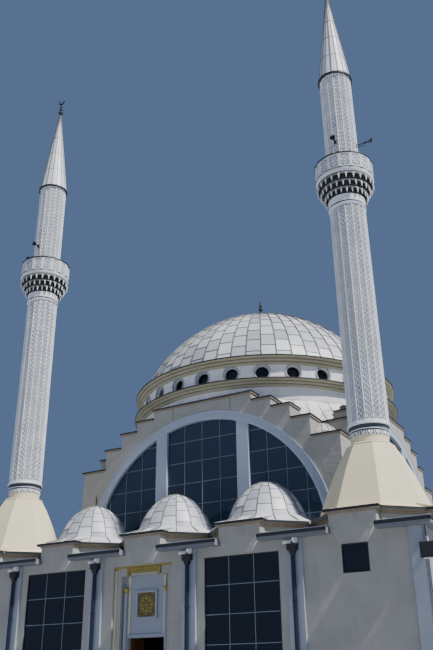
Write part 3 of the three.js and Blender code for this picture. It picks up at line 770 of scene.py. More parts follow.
def publish(
    form: Form, name: str, finish: Finish, place: Matrix = Matrix(), replaces: str = "",
    tone: Optional[Callable[[Vector], float]] = None,
) -> None:
    """Turns a form into a piece of the building, in the frame's own metres.

    Args:
        form: The finished form.
        name: The piece's name.
        finish: Its finish.
        place: Where it goes on the real building.
        replaces: The frame's node that it stands for.
        tone: Gives each sheet its own tone, from a face's middle.
    """
    if tone is not None:
        layer = form.mesh.faces.layers.float.new("tone")
        for face in form.mesh.faces:
            face[layer] = tone(face.calc_center_median())
    for step in (place, PLAN.to_model()):
        form.mesh.transform(step)
    mesh = bpy.data.meshes.new(name)
    form.mesh.to_mesh(mesh)
    form.mesh.free()
    mesh.materials.append(material_of(finish))
    mesh.shade_smooth()
    mesh.set_sharp_from_angle(angle=SHARP)
    piece = bpy.data.objects.new(name, mesh)
    bpy.context.scene.collection.objects.link(piece)
    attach(piece, "root")
    if replaces:
        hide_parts(replaces)
    LOG.info("%s: %d triangles", name, sum(len(face.vertices) - 2 for face in mesh.polygons))


# Walls, windows and eaves


def with_mirrored(spans: Sequence[Pair], both: bool = True) -> list[Pair]:
    """Gives stretches of a wall on the other hand, or on both hands."""
    other = [(-end, -start) for start, end in spans]
    return [*spans, *other] if both else other


@dataclass(frozen=True)
class Window:
    """One opening in a wall, from the wall's middle."""

    x: float
    width: float = 3.68
    sill: float = 0.75
    head: float = 6.75
    columns: int = 3
    rows: int = 5


def flipped(windows: Iterable[Window]) -> list[Window]:
    """Gives windows on the other hand of a wall."""
    return [replace(window, x=-window.x) for window in windows]


@dataclass
class Joinery:
    """Dark frames, aluminium bars and sills of all the windows in the outer walls."""

    frame: float = 0.045
    bar: float = 0.034
    face: float = 0.015
    thickness: float = 0.045
    edge: float = 0.008
    sill_reach: float = 0.05
    sill_height: float = 0.04
    small: Window = Window(10.45, 1.15, 5.62, 6.765, 1, 1)
    wing_back: Window = Window(10.775, 2.45, columns=2)
    hall_back_x: float = 4.8

    def windows(self) -> dict[Side, list[Window]]:
        """Lists the windows of each wall."""
        half_depth = PLAN.depth / 2
        front = [Window(PLAN.bay), self.small]
        side = [replace(self.small, x=PLAN.octagon_y - half_depth)]
        side += [Window(PLAN.hall_front + (i + 0.5) * PLAN.side_bay - half_depth) for i in range(3)]
        back = [self.wing_back, Window(self.hall_back_x)]
        return {
            Side.FRONT: front + flipped(front),
            Side.RIGHT: side,
            Side.LEFT: flipped(side),
            Side.BACK: back + flipped(back) + [Window(0.0)],
        }

    def add_window(self, window: Window, frames: Form, bars: Form) -> None:
        """Adds the frame and bars of one window.

        Args:
            window: The opening.
            frames: Takes its frame.
            bars: Takes its bars.
        """
        near, far = self.face, self.face + self.thickness
        left = window.x - window.width / 2
        right = window.x + window.width / 2
        low, high = window.sill + self.frame, window.head - self.frame
        for x in (left, right - self.frame):
            frames.add(block((x, near, window.sill), (x + self.frame, far, window.head), self.edge))
        for z in (window.sill, high):
            ends = (left + self.frame, near, z), (right - self.frame, far, z + self.frame)
            frames.add(block(*ends, self.edge))
        inner = near + 0.01
        for i in range(1, window.columns):
            x = left + window.width * i / window.columns - self.bar / 2
            bars.add(block((x, inner, low), (x + self.bar, far, high), self.edge))
        for i in range(1, window.rows):
            z = window.head - (window.head - window.sill) * i / window.rows - self.bar / 2
            ends = (left + self.frame, inner + 0.006, z), (right - self.frame, far, z + self.bar)
            bars.add(block(*ends, self.edge))

    def sill_of(self, window: Window) -> Form:
        """Builds the sill under one window."""
        half, reach = window.width / 2 + self.sill_reach, self.sill_reach
        low = (window.x - half, -reach, window.sill - self.sill_height)
        return block(low, (window.x + half, self.face + 0.02, window.sill + 0.012), 0.01)

    def build(self) -> None:
        """Builds the windows of the four walls."""
        for side, windows in self.windows().items():
            frames, bars, sills = Form(), Form(), Form()
            for window in windows:
                self.add_window(window, frames, bars)
                if window.columns > 1:
                    sills.add(self.sill_of(window))
            place = PLAN.on_wall(side)
            publish(frames, f"window_frames_{side.name.lower()}", EDGE_SHEET, place)
            publish(bars, f"window_bars_{side.name.lower()}", FRAME_ALUMINIUM, place)
            publish(sills, f"window_sills_{side.name.lower()}", STRIP_PAINT, place)


@dataclass
class Pilasters:
    """Smooth painted casings on the flat strips between the bays."""

    proud: float = 0.012
    edge: float = 0.015
    back_x: tuple[float, ...] = (2.4, 7.4)

    def strip(self, x0: float, x1: float) -> Form:
        """Builds one casing between two places on a wall."""
        face, top = -PLAN.pilaster_depth - self.proud, PLAN.roof_underside - 0.004
        return block((x0 - self.proud, face, PLAN.floor_top), (x1 + self.proud, 0.02, top), self.edge)

    def spans(self) -> dict[Side, list[Pair]]:
        """Lists where the strips of each wall start and end."""
        half, depth = PLAN.pilaster_half, PLAN.pilaster_depth
        centre = PLAN.depth / 2
        front = with_mirrored([(x - half, x + half) for x in (1.5 * PLAN.bay, PLAN.bay / 2)])
        front += with_mirrored([(PLAN.half_width - PLAN.corner_pilaster, PLAN.half_width + depth)])
        middles = [PLAN.hall_front + i * PLAN.side_bay - centre for i in range(3)]
        right = [(x - half, x + half) for x in middles]
        right += [(centre - PLAN.corner_pilaster, centre), (-centre - depth, PLAN.wall - centre)]
        back = [(x - half, x + half) for x in self.back_x]
        return {
            Side.FRONT: front,
            Side.RIGHT: right,
            Side.LEFT: with_mirrored(right, both=False),
            Side.BACK: with_mirrored(back),
        }

    def build(self) -> None:
        """Builds the casings of the four walls."""
        for side, spans in self.spans().items():
            form = Form()
            for x0, x1 in spans:
                form.add(self.strip(x0, x1))
            publish(form, f"pilaster_casings_{side.name.lower()}", STRIP_PAINT, PLAN.on_wall(side))


@dataclass
class Eaves:
    """Folded edges on the flat roofs, on the octagons' eaves and on those of their piers."""

    proud: float = 0.025
    height: float = 0.14
    lip: float = 0.035
    lip_inset: float = 0.05
    octagon_edge: float = 0.115
    clear: float = 0.03
    sides: int = 8
    mouldings: tuple[Pair, ...] = (
        (-0.05, 7.9), (0.025, 7.9), (0.03, 7.95), (0.06, 7.97), (0.06, 8.01), (0.1, 8.03), (0.1, 8.065),
        (-0.05, 8.065),
    )

    def rail(self, a: Pair, b: Pair, top: float, height: float) -> Form:
        """Builds one straight stretch of edge between two places on the plan."""
        (x0, x1), (y0, y1) = (sorted(pair) for pair in zip(a, b))
        low = (x0 - self.proud, y0 - self.proud, top - height)
        return block(low, (x1 + self.proud, y1 + self.proud, top), 0.006)

    def roof_edges(self) -> tuple[Form, Form]:
        """Builds the dark edge round the whole roof, with its returns at the piers, and its pale lip."""
        edge, lip = Form(), Form()
        side = PLAN.half_width + PLAN.eave
        front, back = -PLAN.eave, PLAN.depth + PLAN.eave
        notch = PLAN.pier_half + self.clear
        stops = [-side, *(x + hand * notch for x in PLAN.pier_x for hand in BOTH), side]
        inset = self.lip_inset
        lines = [((start, front), (end, front), (0.0, inset)) for start, end in zip(stops[::2], stops[1::2])]
        lines += [((hand * side, front), (hand * side, back), (-hand * inset, 0.0)) for hand in BOTH]
        lines.append(((-side, back), (side, back), (0.0, -inset)))
        top = PLAN.roof_top + 0.015
        for a, b, (dx, dy) in lines:
            edge.add(self.rail(a, b, top, self.height))
            lip.add(self.rail((a[0] + dx, a[1] + dy), (b[0] + dx, b[1] + dy), top + self.lip, self.lip))
        for x in stops[1:-1]:
            edge.add(self.rail((x, front), (x, -PLAN.pilaster_depth), top, self.height))
        return edge, lip

    def octagon_ring(self, profile: Profile, half: float) -> Form:
        """Turns a closed profile, by its distance to a flat and its height, to a ring stopped at both sides."""
        corner = 1 / math.cos(math.pi / self.sides)
        return turned([(flat * corner, z) for flat, z in profile], self.sides, closed=True).stopped(half)

    def pier_edges(self, reach: float) -> tuple[Form, Form]:
        """Builds the dark edge of a pier's eave and the moulding under it.

        Args:
            reach: Distance from the octagon's axis to the wall face.

        Returns:
            The edge and the moulding, seen from the octagon's axis.
        """
        half = PLAN.pier_eave_half
        front = -reach - PLAN.pier_eave
        back = half - PLAN.octagon_eave * math.sqrt(2)
        top = PLAN.octagon_eave_top + 0.02
        edge = self.rail((-half, front), (half, front), top, self.octagon_edge)
        for x in (-half, half):
            edge.add(self.rail((x, front), (x, back), top, self.octagon_edge))
        under = PLAN.octagon_eave_bottom
        wide, behind = PLAN.pier_half + 0.04, 0.3 - reach
        face = -reach - PLAN.pilaster_depth - 0.04
        moulding = block((-wide, face, under - 0.09), (wide, behind, under - 0.004), 0.01)
        ends = (-wide - 0.06, face - 0.05, under - 0.04), (wide + 0.06, behind, under - 0.003)
        return edge, moulding.add(block(*ends, 0.008))

    def build(self) -> None:
        """Builds all the edges."""
        edge, lip = self.roof_edges()
        publish(edge, "roof_edges", EDGE_SHEET)
        publish(lip, "roof_lip", STRIP_PAINT)
        edges, soffits = Form(), Form()
        eave, flat = PLAN.octagon_eave, PLAN.octagon_flat
        top = PLAN.octagon_eave_top + 0.02
        inner, outer, low = eave - 0.05, eave + self.proud, top - self.octagon_edge
        line = [(inner, low), (outer, low), (outer, top), (inner, top)]
        steps = [(flat + out, z) for out, z in self.mouldings]
        for x in (-PLAN.outer_bay, -PLAN.bay, 0.0, PLAN.bay, PLAN.outer_bay):
            half = PLAN.bay / 2 - 0.005 if abs(x) <= PLAN.bay else 2 * PLAN.bay
            edges.add(self.octagon_ring(line, half), [PLAN.at_octagon(x)])
            soffits.add(self.octagon_ring(steps, half), [PLAN.at_octagon(x)])
        fronts = [PLAN.at_octagon(x) for x in PLAN.pier_x]
        ends = [PLAN.at_octagon(hand * PLAN.outer_bay) @ turn(hand * QUARTER) for hand in BOTH]
        for reach, places in ((PLAN.octagon_y, fronts), (PLAN.half_width - PLAN.outer_bay, ends)):
            for whole, part in zip((edges, soffits), self.pier_edges(reach)):
                whole.add(part, places)
        publish(edges, "octagon_edges", EDGE_SHEET)
        publish(soffits, "octagon_soffits", SOFFIT_PAINT)


@dataclass
class Piers:
    """The piers' sloping sheets, white strips on their corbels' sides as painted sunlight, and the piers of the
    minaret bases.
    """

    side: float = 0.012
    sheet: float = 0.02

    def sides(self) -> Form:
        """Builds white strips on the sides of each plate, along its slanting edges: painted sunlight on those
        sides.
        """
        form = Form()
        for x in PLAN.pier_x:
            for hand in BOTH:
                tip = (x + hand * PLAN.pier_tip_half, PLAN.pier_tip)
                shoulder = (x + hand * PLAN.pier_half, PLAN.pier_shoulder)
                outer = [(across + hand * self.side, z) for across, z in (shoulder, tip)]
                form.add(prism([tip, shoulder, *outer], 0.004 - PLAN.pilaster_depth, 0.01))
        return form

    def sheets(self) -> Form:
        """Builds the sheets on the eaves of the three middle piers."""
        y0 = -PLAN.octagon_y - PLAN.pier_eave - 0.02
        line = [(y0, PLAN.octagon_eave_top), (-PLAN.pier_ridge_reach, PLAN.pier_ridge)]
        under = [(y, z + 0.002) for y, z in line]
        over = [(y, z + self.sheet) for y, z in reversed(line)]
        half = PLAN.pier_eave_half + 0.01
        places = [PLAN.at_octagon(x) @ turn(QUARTER) for x in (-PLAN.bay, 0.0, PLAN.bay)]
        return Form().add(prism([*under, *over], -half, half), places)

    @staticmethod
    def pier(reach: float, bottom: float) -> Form:
        """Builds a whole pier with its plate and sloping eave.

        Args:
            reach: Distance from the octagon's axis to the wall face.
            bottom: Height of its foot.

        Returns:
            The pier, to the front of the octagon's axis.
        """
        half = PLAN.pier_half
        under, top = PLAN.octagon_eave_bottom, PLAN.octagon_eave_top
        form = block((-half, -reach, bottom), (half, 0.1 - PLAN.octagon_flat, under + 0.01))
        share = (bottom - PLAN.pier_tip) / (PLAN.pier_shoulder - PLAN.pier_tip)
        foot = PLAN.pier_tip_half + (half - PLAN.pier_tip_half) * share
        right = [(half, under), (half, PLAN.pier_shoulder), (foot, bottom)]
        plate = [*right, *((-x, z) for x, z in reversed(right))]
        form.add(prism(plate, -reach - PLAN.pilaster_depth, 0.01 - reach))
        edge, ridge_y = -reach - PLAN.pier_eave, -PLAN.pier_ridge_reach
        slope = [(edge, under), (ridge_y, under), (ridge_y, PLAN.pier_ridge), (edge, top)]
        return form.add(prism(slope, -PLAN.pier_eave_half, PLAN.pier_eave_half), [turn(QUARTER)])

    def build(self) -> None:
        """Builds the sheets and the painted sunlight on the corbels' sides."""
        publish(self.sheets(), "pier_sheets", DOME_SHEET)
        # White strips paint the sunlight on the corbels' slanting sides
        publish(self.sides(), "corbel_painted_sunlight", CAST_STONE)


@dataclass
class Rosettes:
    """Small round bosses on the faces of the piers."""

    radius: float = 0.18
    height: float = 7.75
    rise: float = 0.02
    shape: tuple[Pair, ...] = (
        (0, 0), (1, 0), (1, 1), (0.8, 1.3), (0.7, 0.5), (0.42, 0.5), (0.3, 1.1), (0, 1.3),
    )

    def build(self) -> None:
        """Builds a ring with a button for each pier."""
        boss = turned([(self.radius * out, self.rise * up) for out, up in self.shape], 32)
        places = [upright_to_front(x, -PLAN.pilaster_depth, self.height) for x in PLAN.pier_x]
        publish(Form().add(boss, places), "pier_rosettes", WALL_RENDER)


@dataclass
class Downpipe:
    """A rainwater pipe with its hopper, clips, shoe and two white outlets from the roof."""

    name: str
    x: float
    radius: float = 0.092
    segments: int = 20
    hopper_half: float = 0.22
    hopper_depth: float = 0.26
    hopper_bottom: float = 6.57
    hopper_top: float = 6.93
    rim: float = 0.02
    clip_spacing: float = 1.9
    outlet: float = 0.085
    outlet_side: float = 0.12

    @property
    def place(self) -> Matrix:
        """The pipe's axis, in front of the wall."""
        return move(self.x, -PLAN.pilaster_depth - self.hopper_depth / 2 - 0.01)

    def hopper(self) -> Form:
        """Builds the hopper with its rim and tapered neck."""
        half, deep, rim = self.hopper_half, self.hopper_depth / 2, self.rim
        waist, top = self.hopper_bottom + 0.1, self.hopper_top
        form = block((-half, -deep, waist), (half, deep, top - 0.04), 0.01)
        form.add(block((-half - rim, -deep - rim, top - 0.05), (half + rim, deep, top), 0.006))
        return form.add(stud(self.radius * 1.5, deep * 1.41, 0.16, 4, move(z=waist - 0.08) @ turn(EIGHTH)))

    def pipe(self) -> Form:
        """Builds the pipe with its clips and shoe."""
        r = self.radius
        foot = PLAN.floor_top + 0.25
        form = rod(r, foot, self.hopper_bottom, self.segments)
        for i in range(int((self.hopper_bottom - foot) / self.clip_spacing) + 1):
            z = foot + 0.3 + i * self.clip_spacing
            form.add(collar(r, r + 0.02, z, z + 0.06, self.segments))
            form.add(block((-0.02, 0, z + 0.01), (0.02, self.hopper_depth / 2, z + 0.05)))
        shoe = rod(r, 0, 0.3, self.segments)
        return form.add(shoe, [move(0, -0.12, foot - 0.12) @ turn(math.radians(-35), "X")])

    def outlets(self) -> Form:
        """Builds the stub that drops from the roof slab and the elbow, which both end in the hopper."""
        r, side = self.outlet, self.outlet_side
        bottom, top = self.hopper_top - 0.02, PLAN.roof_underside
        socket, wide = bottom + 0.1, r * 1.35
        stub = turned([
            (0, bottom), (r, bottom), (r, socket), (wide, socket), (wide, top - 0.02), (0, top - 0.02),
        ], 16)
        form = Form().add(stub, [move(side)])
        form.add(rod(r, 0, 0.17, 16), [upright_to_front(side, 0, bottom + 0.17)])
        form.add(rod(r * 0.9, 0, 0.36, 16), [move(-side - 0.3, 0, bottom + 0.12) @ turn(QUARTER, "Y")])
        return form.add(rod(r * 0.9, bottom, bottom + 0.13, 16), [move(-side)])

    def build(self) -> None:
        """Builds the pipe, its hopper and its outlets."""
        publish(self.pipe(), f"rain_pipe_{self.name}", PIPE_ENAMEL, self.place, f"downpipe_{self.name}")
        publish(self.hopper(), f"rain_hopper_{self.name}", EDGE_SHEET, self.place)
        publish(self.outlets(), f"roof_outlets_{self.name}", WHITE_PLASTIC, self.place)


@dataclass
class Floodlight:
    """A flat dark lamp box on a bracket, at the right corner of the front."""

    left: float = 13.2
    width: float = 0.85
    back: float = -0.27
    depth: float = 0.15
    bottom: float = 5.9
    height: float = 0.6
    rim: float = 0.05
    fins: int = 9

    def build(self) -> None:
        """Builds the box, its glass edge, fins, bracket and the pale rail under it."""
        x0, x1 = self.left, self.left + self.width
        y0, y1 = self.back - self.depth, self.back
        z0, z1 = self.bottom, self.bottom + self.height
        rim = self.rim
        form = block((x0, y0, z0), (x1, y1, z1), 0.02)
        form.add(block((x0 + rim, y0 - 0.015, z0 + rim), (x1 - rim, y0, z1 - rim), 0.005))
        for i in range(self.fins):
            x = x0 + 0.06 + i * (self.width - 0.14) / (self.fins - 1)
            form.add(block((x, y1, z0 + 0.06), (x + 0.02, y1 + 0.05, z1 - 0.06)))
        for x in (x0 + 0.02, PLAN.half_width + PLAN.pilaster_depth - 0.05):
            form.add(block((x, y1 - 0.01, z0 + 0.2), (x + 0.03, 0.01 - PLAN.pilaster_depth, z0 + 0.28)))
        publish(form, "corner_floodlight", EDGE_SHEET)
        rail = block((x0 + 0.1, y0 + 0.02, z0 - 0.035), (x1, y1, z0 + 0.004), 0.006)
        publish(rail, "floodlight_rail", WHITE_PLASTIC)


# Portal


@dataclass
class Portal:
    """The stepped recess with gilt mouldings, slim columns, a carved plaque and two door leaves."""

    outer_half: float = 1.65
    outer_top: float = 6.72
    outer_foot: float = 6.58
    outer_depth: float = 0.18
    inner_half: float = 1.3
    inner_top: float = 6.3
    inner_depth: float = 0.5
    band_half: float = 0.94
    band_top: float = 6.63
    jamb: float = 0.09
    door_half: float = 1.0
    door_top: float = 3.6
    door_rim: float = 0.13
    column_x: float = 1.13
    column_radius: float = 0.085
    capital_top: float = 5.75
    plaque_half: float = 0.56
    plaque_bottom: float = 4.4
    plaque_top: float = 5.6
    plaque_edge: float = 0.07
    strap: float = 0.03
    stile: float = 0.14
    leaf_thickness: float = 0.06

    @property
    def back(self) -> float:
        """Depth of the lining's face in the recess."""
        return self.inner_depth - 0.03

    def mouldings(self) -> tuple[Form, Form]:
        """Builds the rounds over and beside the recess: gilt at the head, faintly toned on the jambs."""
        gilt, toned = Form(), Form()
        face, foot, jamb = self.outer_depth, PLAN.floor_top, self.jamb
        band = ((0.0, 0.09, 0.1), (0.1, 0.07, 0.075), (0.18, 0.05, 0.05))
        for half, top, end, rounds in (
            (self.outer_half, self.outer_top, self.outer_foot, ((0.0, 0.07, 0.12),)),
            (self.band_half, self.band_top, self.inner_top, band),
        ):
            for inset, width, proud in rounds:
                x = half - inset * 0.35 - 0.004
                z = top - inset - 0.004
                lines = gate(x, end, z), gate(x - jamb, end, z - width)
                gilt.add(hoop(*lines, face - proud, face + 0.002))
        for hand in BOTH:
            x0, x1 = hand * (self.outer_half - 0.11), hand * (self.outer_half - 0.004)
            toned.add(block((x0, face - 0.05, foot), (x1, face + 0.002, self.outer_foot), 0.012))
            x0, x1 = hand * (self.band_half - 0.02), hand * (self.band_half + 0.12)
            low = (x0, self.back - 0.05, self.door_top + 0.14)
            toned.add(block(low, (x1, self.back + 0.002, self.inner_top - 0.01), 0.012))
        return gilt, toned

    def lining(self) -> Form:
        """Builds the white back of the recess with a raised field round the doorway."""
        foot = PLAN.floor_top
        outer = gate(self.inner_half - 0.004, foot, self.inner_top - 0.004)
        door = gate(self.door_half, foot, self.door_top)
        raised = gate(self.door_half + self.door_rim, foot, self.door_top + self.door_rim)
        form = hoop(outer, door, self.back, self.inner_depth)
        return form.add(hoop(raised, door, self.back - 0.06, self.back))

    def columns(self) -> tuple[Form, Form]:
        """Builds the two slim columns and their gilt capitals and bases."""
        r, foot, top = self.column_radius, PLAN.floor_top, self.capital_top
        capital = turned([
            (0, top - 0.2), (r * 1.15, top - 0.2), (r * 1.3, top - 0.17), (r * 1.1, top - 0.15),
            (r * 1.6, top - 0.06), (r * 1.75, top - 0.05), (r * 1.75, top), (0, top),
        ], 24)
        base = turned([
            (0, foot), (r * 1.7, foot), (r * 1.7, foot + 0.1), (r * 1.4, foot + 0.14), (r * 1.1, foot + 0.2),
            (0, foot + 0.2),
        ], 24)
        places = [move(hand * self.column_x, self.inner_depth - 0.14) for hand in BOTH]
        return Form().add(rod(r, foot, top - 0.16, 24), places), Form().add(capital, places).add(base, places)

    def plaque(self) -> tuple[Form, Form, Form]:
        """Builds the plaque's ground, its gilt strapwork and its pale frame."""
        half, edge, band = self.plaque_half, self.plaque_edge, self.strap
        z0, z1 = self.plaque_bottom, self.plaque_top
        back, face = self.back, self.back - 0.05
        ground = block((-half, face, z0), (half, back, z1), 0.005)
        rim = gate(half + 0.03, z0 - 0.03, z1 + 0.03)
        frame_form = hoop(rim, gate(half - edge, z0 + edge, z1 - edge), face - 0.04, back, closed=True)
        straps = Form()
        middle = (z0 + z1) / 2
        radius = half - edge - 0.03
        for start in (0, EIGHTH):
            lines = (polygon(size, 4, start, z=middle) for size in (radius, radius - band * 1.4))
            straps.add(hoop(*lines, face - 0.02, face, closed=True))
        for share in (0.66, 0.36):
            lines = (polygon(radius * share - inset, 16, z=middle) for inset in (0, band * 0.8))
            straps.add(hoop(*lines, face - 0.018, face, closed=True))
        petal = prism(polygon(0.055, 6, QUARTER), face - 0.022, face)
        straps.add(petal, [move(x, 0, z) for x, z in polygon(radius * 0.51, 8, z=middle)])
        straps.add(prism(polygon(0.07, 8, z=middle), face - 0.03, face))
        for x, z in CORNERS:
            corner = (x * (half - edge - 0.09), middle + z * (half - 0.06))
            lines = (polygon(size, 12, 0, *corner) for size in (0.085, 0.06))
            straps.add(hoop(*lines, face - 0.018, face, closed=True))
            straps.add(prism(polygon(0.03, 8, 0, *corner), face - 0.022, face))
        return ground, straps, frame_form

    def leaf(self) -> Form:
        """Builds one panelled leaf, drawn shut from its hinge at X = 0 towards +X."""
        width, thick, stile = self.door_half - 0.006, self.leaf_thickness, self.stile
        height = self.door_top - PLAN.floor_top - 0.02
        form = block((0, 0.012, 0), (width, thick - 0.012, height), 0.004)
        rails = ((0.0, stile * 1.4), (0.95, 1.15), (2.15, 2.35), (height - stile, height))
        for x in (0, width - stile):
            form.add(block((x, 0, 0), (x + stile, thick, height), 0.006))
        for low, high in rails:
            form.add(block((stile, 0, low), (width - stile, thick, high), 0.006))
        inner = stile + 0.07
        for (_, low), (high, _) in zip(rails, rails[1:]):
            form.add(block((inner, 0.002, low + 0.07), (width - inner, thick - 0.002, high - 0.07), 0.01))
        return form

    def build(self) -> None:
        """Builds the whole portal, with both leaves standing open against the sides of the doorway."""
        shafts, gilt = self.columns()
        ground, straps, frame_form = self.plaque()
        lintels, jambs = self.mouldings()
        publish(gilt.add(lintels), "portal_gilding", GOLD_PAINT, replaces="portal_moulding")
        publish(jambs, "portal_jambs", JAMB_PAINT)
        publish(shafts, "portal_columns", STRIP_PAINT)
        publish(self.lining(), "portal_lining", STRIP_PAINT)
        publish(ground, "plaque_ground", PLAQUE_GROUND, replaces="portal_plaque")
        publish(straps, "plaque_strapwork", GOLD_PAINT)
        publish(frame_form, "plaque_frame", STRIP_PAINT)
        reach = self.door_half - 0.004
        for name, x in (("left", self.leaf_thickness - reach), ("right", reach)):
            opened = move(x, self.inner_depth + 0.14, PLAN.floor_top) @ turn(QUARTER)
            publish(self.leaf(), f"door_{name}", DOOR_TIMBER, opened, f"door_leaf_{name}")


# Domes


@dataclass
class SheetDome:
    """A dome covered with sheets in staggered rows between upright seams.

    Its outline is an arc, drawn in by its taper and rounded by its fullness and power.
    """

    radius: float
    foot: float
    rise: float
    seams: int
    rows: int
    steps: int
    flare: float = 0.0
    shell: float = 0.1
    lap: float = 0.014
    lap_line: float = 0.018
    seam_width: float = 0.035
    seam_height: float = 0.045
    panels: Optional[int] = None
    start: float = 0.0
    taper: float = 0.0
    fullness: float = 2.0
    power: float = 0.5
    sheet: Finish = DOME_SHEET

    def at(self, angle: float, out: float = 0.0) -> Pair:
        """Gives a point of the dome's outline.

        Args:
            angle: From 0 at the foot to a quarter turn at the top.
            out: How far it lies outside the outline.

        Returns:
            Radius and height.
        """
        flare = self.flare * max(0.0, 1 - angle / 0.25) ** 2
        share = math.sin(angle)
        closing = (1 - self.taper * share) * max(0.0, 1 - share ** self.fullness) ** self.power
        return (self.radius + out) * closing + flare, self.foot + (self.rise + out) * share

    @property
    def top_angle(self) -> float:
        """The angle at which the sheets stop under the cap."""
        return QUARTER - 0.03 / self.radius

    def wedge(self, points: Profile) -> Form:
        """Turns a closed profile through one panel."""
        return turned(points, self.steps, closed=True, start=self.start, sweep=math.tau / self.seams)

    def breaks(self, odd: bool) -> list[float]:
        """Lists the angles from foot to top between the rows of one panel. Odd ones are half a sheet higher."""
        sheet = self.top_angle / self.rows
        rows = [sheet * (i + (0.5 if odd else 0.0)) for i in range(self.rows)]
        return [0.0, *(angle for angle in rows if angle > 0), self.top_angle]

    def panel(self, odd: bool) -> Form:
        """Builds one panel as a closed wedge with lapped sheets."""
        breaks = self.breaks(odd)
        points = [
            self.at(low + (high - low) * share, self.lap * (1 - share))
            for low, high in zip(breaks, breaks[1:]) for share in (0, 1 / 3, 2 / 3, 1)
        ]
        inner = [self.at(self.top_angle * i / 8, -self.shell) for i in range(8, -1, -1)]
        return self.wedge([*points, *inner, (inner[-1][0], self.foot)])

    def laps(self, odd: bool) -> Form:
        """Builds the thin dark edges where the sheets of one panel lap, partly painted shade under each lap."""
        form = Form()
        half, proud = self.lap_line / 2 / self.radius, self.lap + 0.006
        for angle in self.breaks(odd)[1:-1]:
            corners = ((-half, -0.01), (-half, proud), (half, proud), (half, -0.01))
            form.add(self.wedge([self.at(angle + rise, out) for rise, out in corners]))
        return form

    def seam(self) -> Form:
        """Builds one standing seam along the front."""
        angles = [self.top_angle * i / 24 for i in range(25)]
        lines = ([self.at(angle, out) for angle in angles] for out in (self.seam_height, -0.01))
        return hoop(*lines, -self.seam_width / 2, self.seam_width / 2)

    def tone(self, middle: Vector, axis: Vector) -> float:
        """Gives each sheet a tone of its own, from a fixed scatter of its panel and row.

        Args:
            middle: Middle of a face.
            axis: Where the dome's axis is.

        Returns:
            From 0 to 1.
        """
        angle = (math.atan2(middle.y - axis.y, middle.x - axis.x) - self.start) % math.tau
        panel = int(angle / math.tau * self.seams)
        level = min(1.0, max(0.0, (middle.z - self.foot) / self.rise))
        row = int(math.asin(level) / self.top_angle * self.rows + (0.5 if panel % 2 else 0.0))
        return (math.sin(panel * 12.9898 + row * 78.233) * 43758.5453) % 1.0

    def build(self, name: str, place: Matrix, replaces: str = "") -> None:
        """Builds the sheets and seams.

        Args:
            name: The piece's name.
            place: Where the dome's axis meets the ground.
            replaces: The frame's node that it stands for.
        """
        count = self.panels or self.seams
        step = math.tau / self.seams
        sheets, seams = Form(), Form()
        for odd in (False, True):
            places = [place @ turn(step * i) for i in range(int(odd), count, 2)]
            sheets.add(self.panel(odd), places)
            seams.add(self.laps(odd), places)
        lines = count if count == self.seams else count + 1
        seams.add(self.seam(), [place @ turn(self.start + step * i) for i in range(lines)])
        axis = place.translation
        publish(sheets, name, self.sheet, replaces=replaces, tone=lambda middle: self.tone(middle, axis))
        publish(seams, f"{name}_seams", SEAM_SHEET)


@dataclass
class Finial:
    """Balls on a stem, with a crescent where one is given.

    A ball is its radius and its height over the foot, and the tip is over the foot too.
    """

    foot: float
    balls: Sequence[Pair]
    tip: float
    collar: float
    stem: float = 0.035
    crescent: float = 0.0

    def form(self) -> Form:
        """Builds the finial about its axis."""
        foot, stem, tip = self.foot, self.stem, self.foot + self.tip
        profile = [(0.0, foot - 0.05), (self.collar, foot - 0.05), (self.collar * 0.9, foot + 0.04)]
        profile.append((stem * 1.6, foot + 0.1))
        for radius, height in self.balls:
            ball = arc(radius, foot + height, 8, -QUARTER, QUARTER)
            profile += [(max(stem, out), z) for out, z in ball]
        form = turned([*profile, (stem * 0.7, tip), (0.0, tip + stem)], 24)
        if self.crescent:
            r = self.crescent
            outer, inner = (arc(size, 0, 24, math.radians(125), math.radians(415)) for size in (r, r * 0.76))
            moon = hoop(outer, [(x, z + r * 0.28) for x, z in inner], -0.02, 0.02)
            form.add(moon, [move(z=tip + r)])
        return form


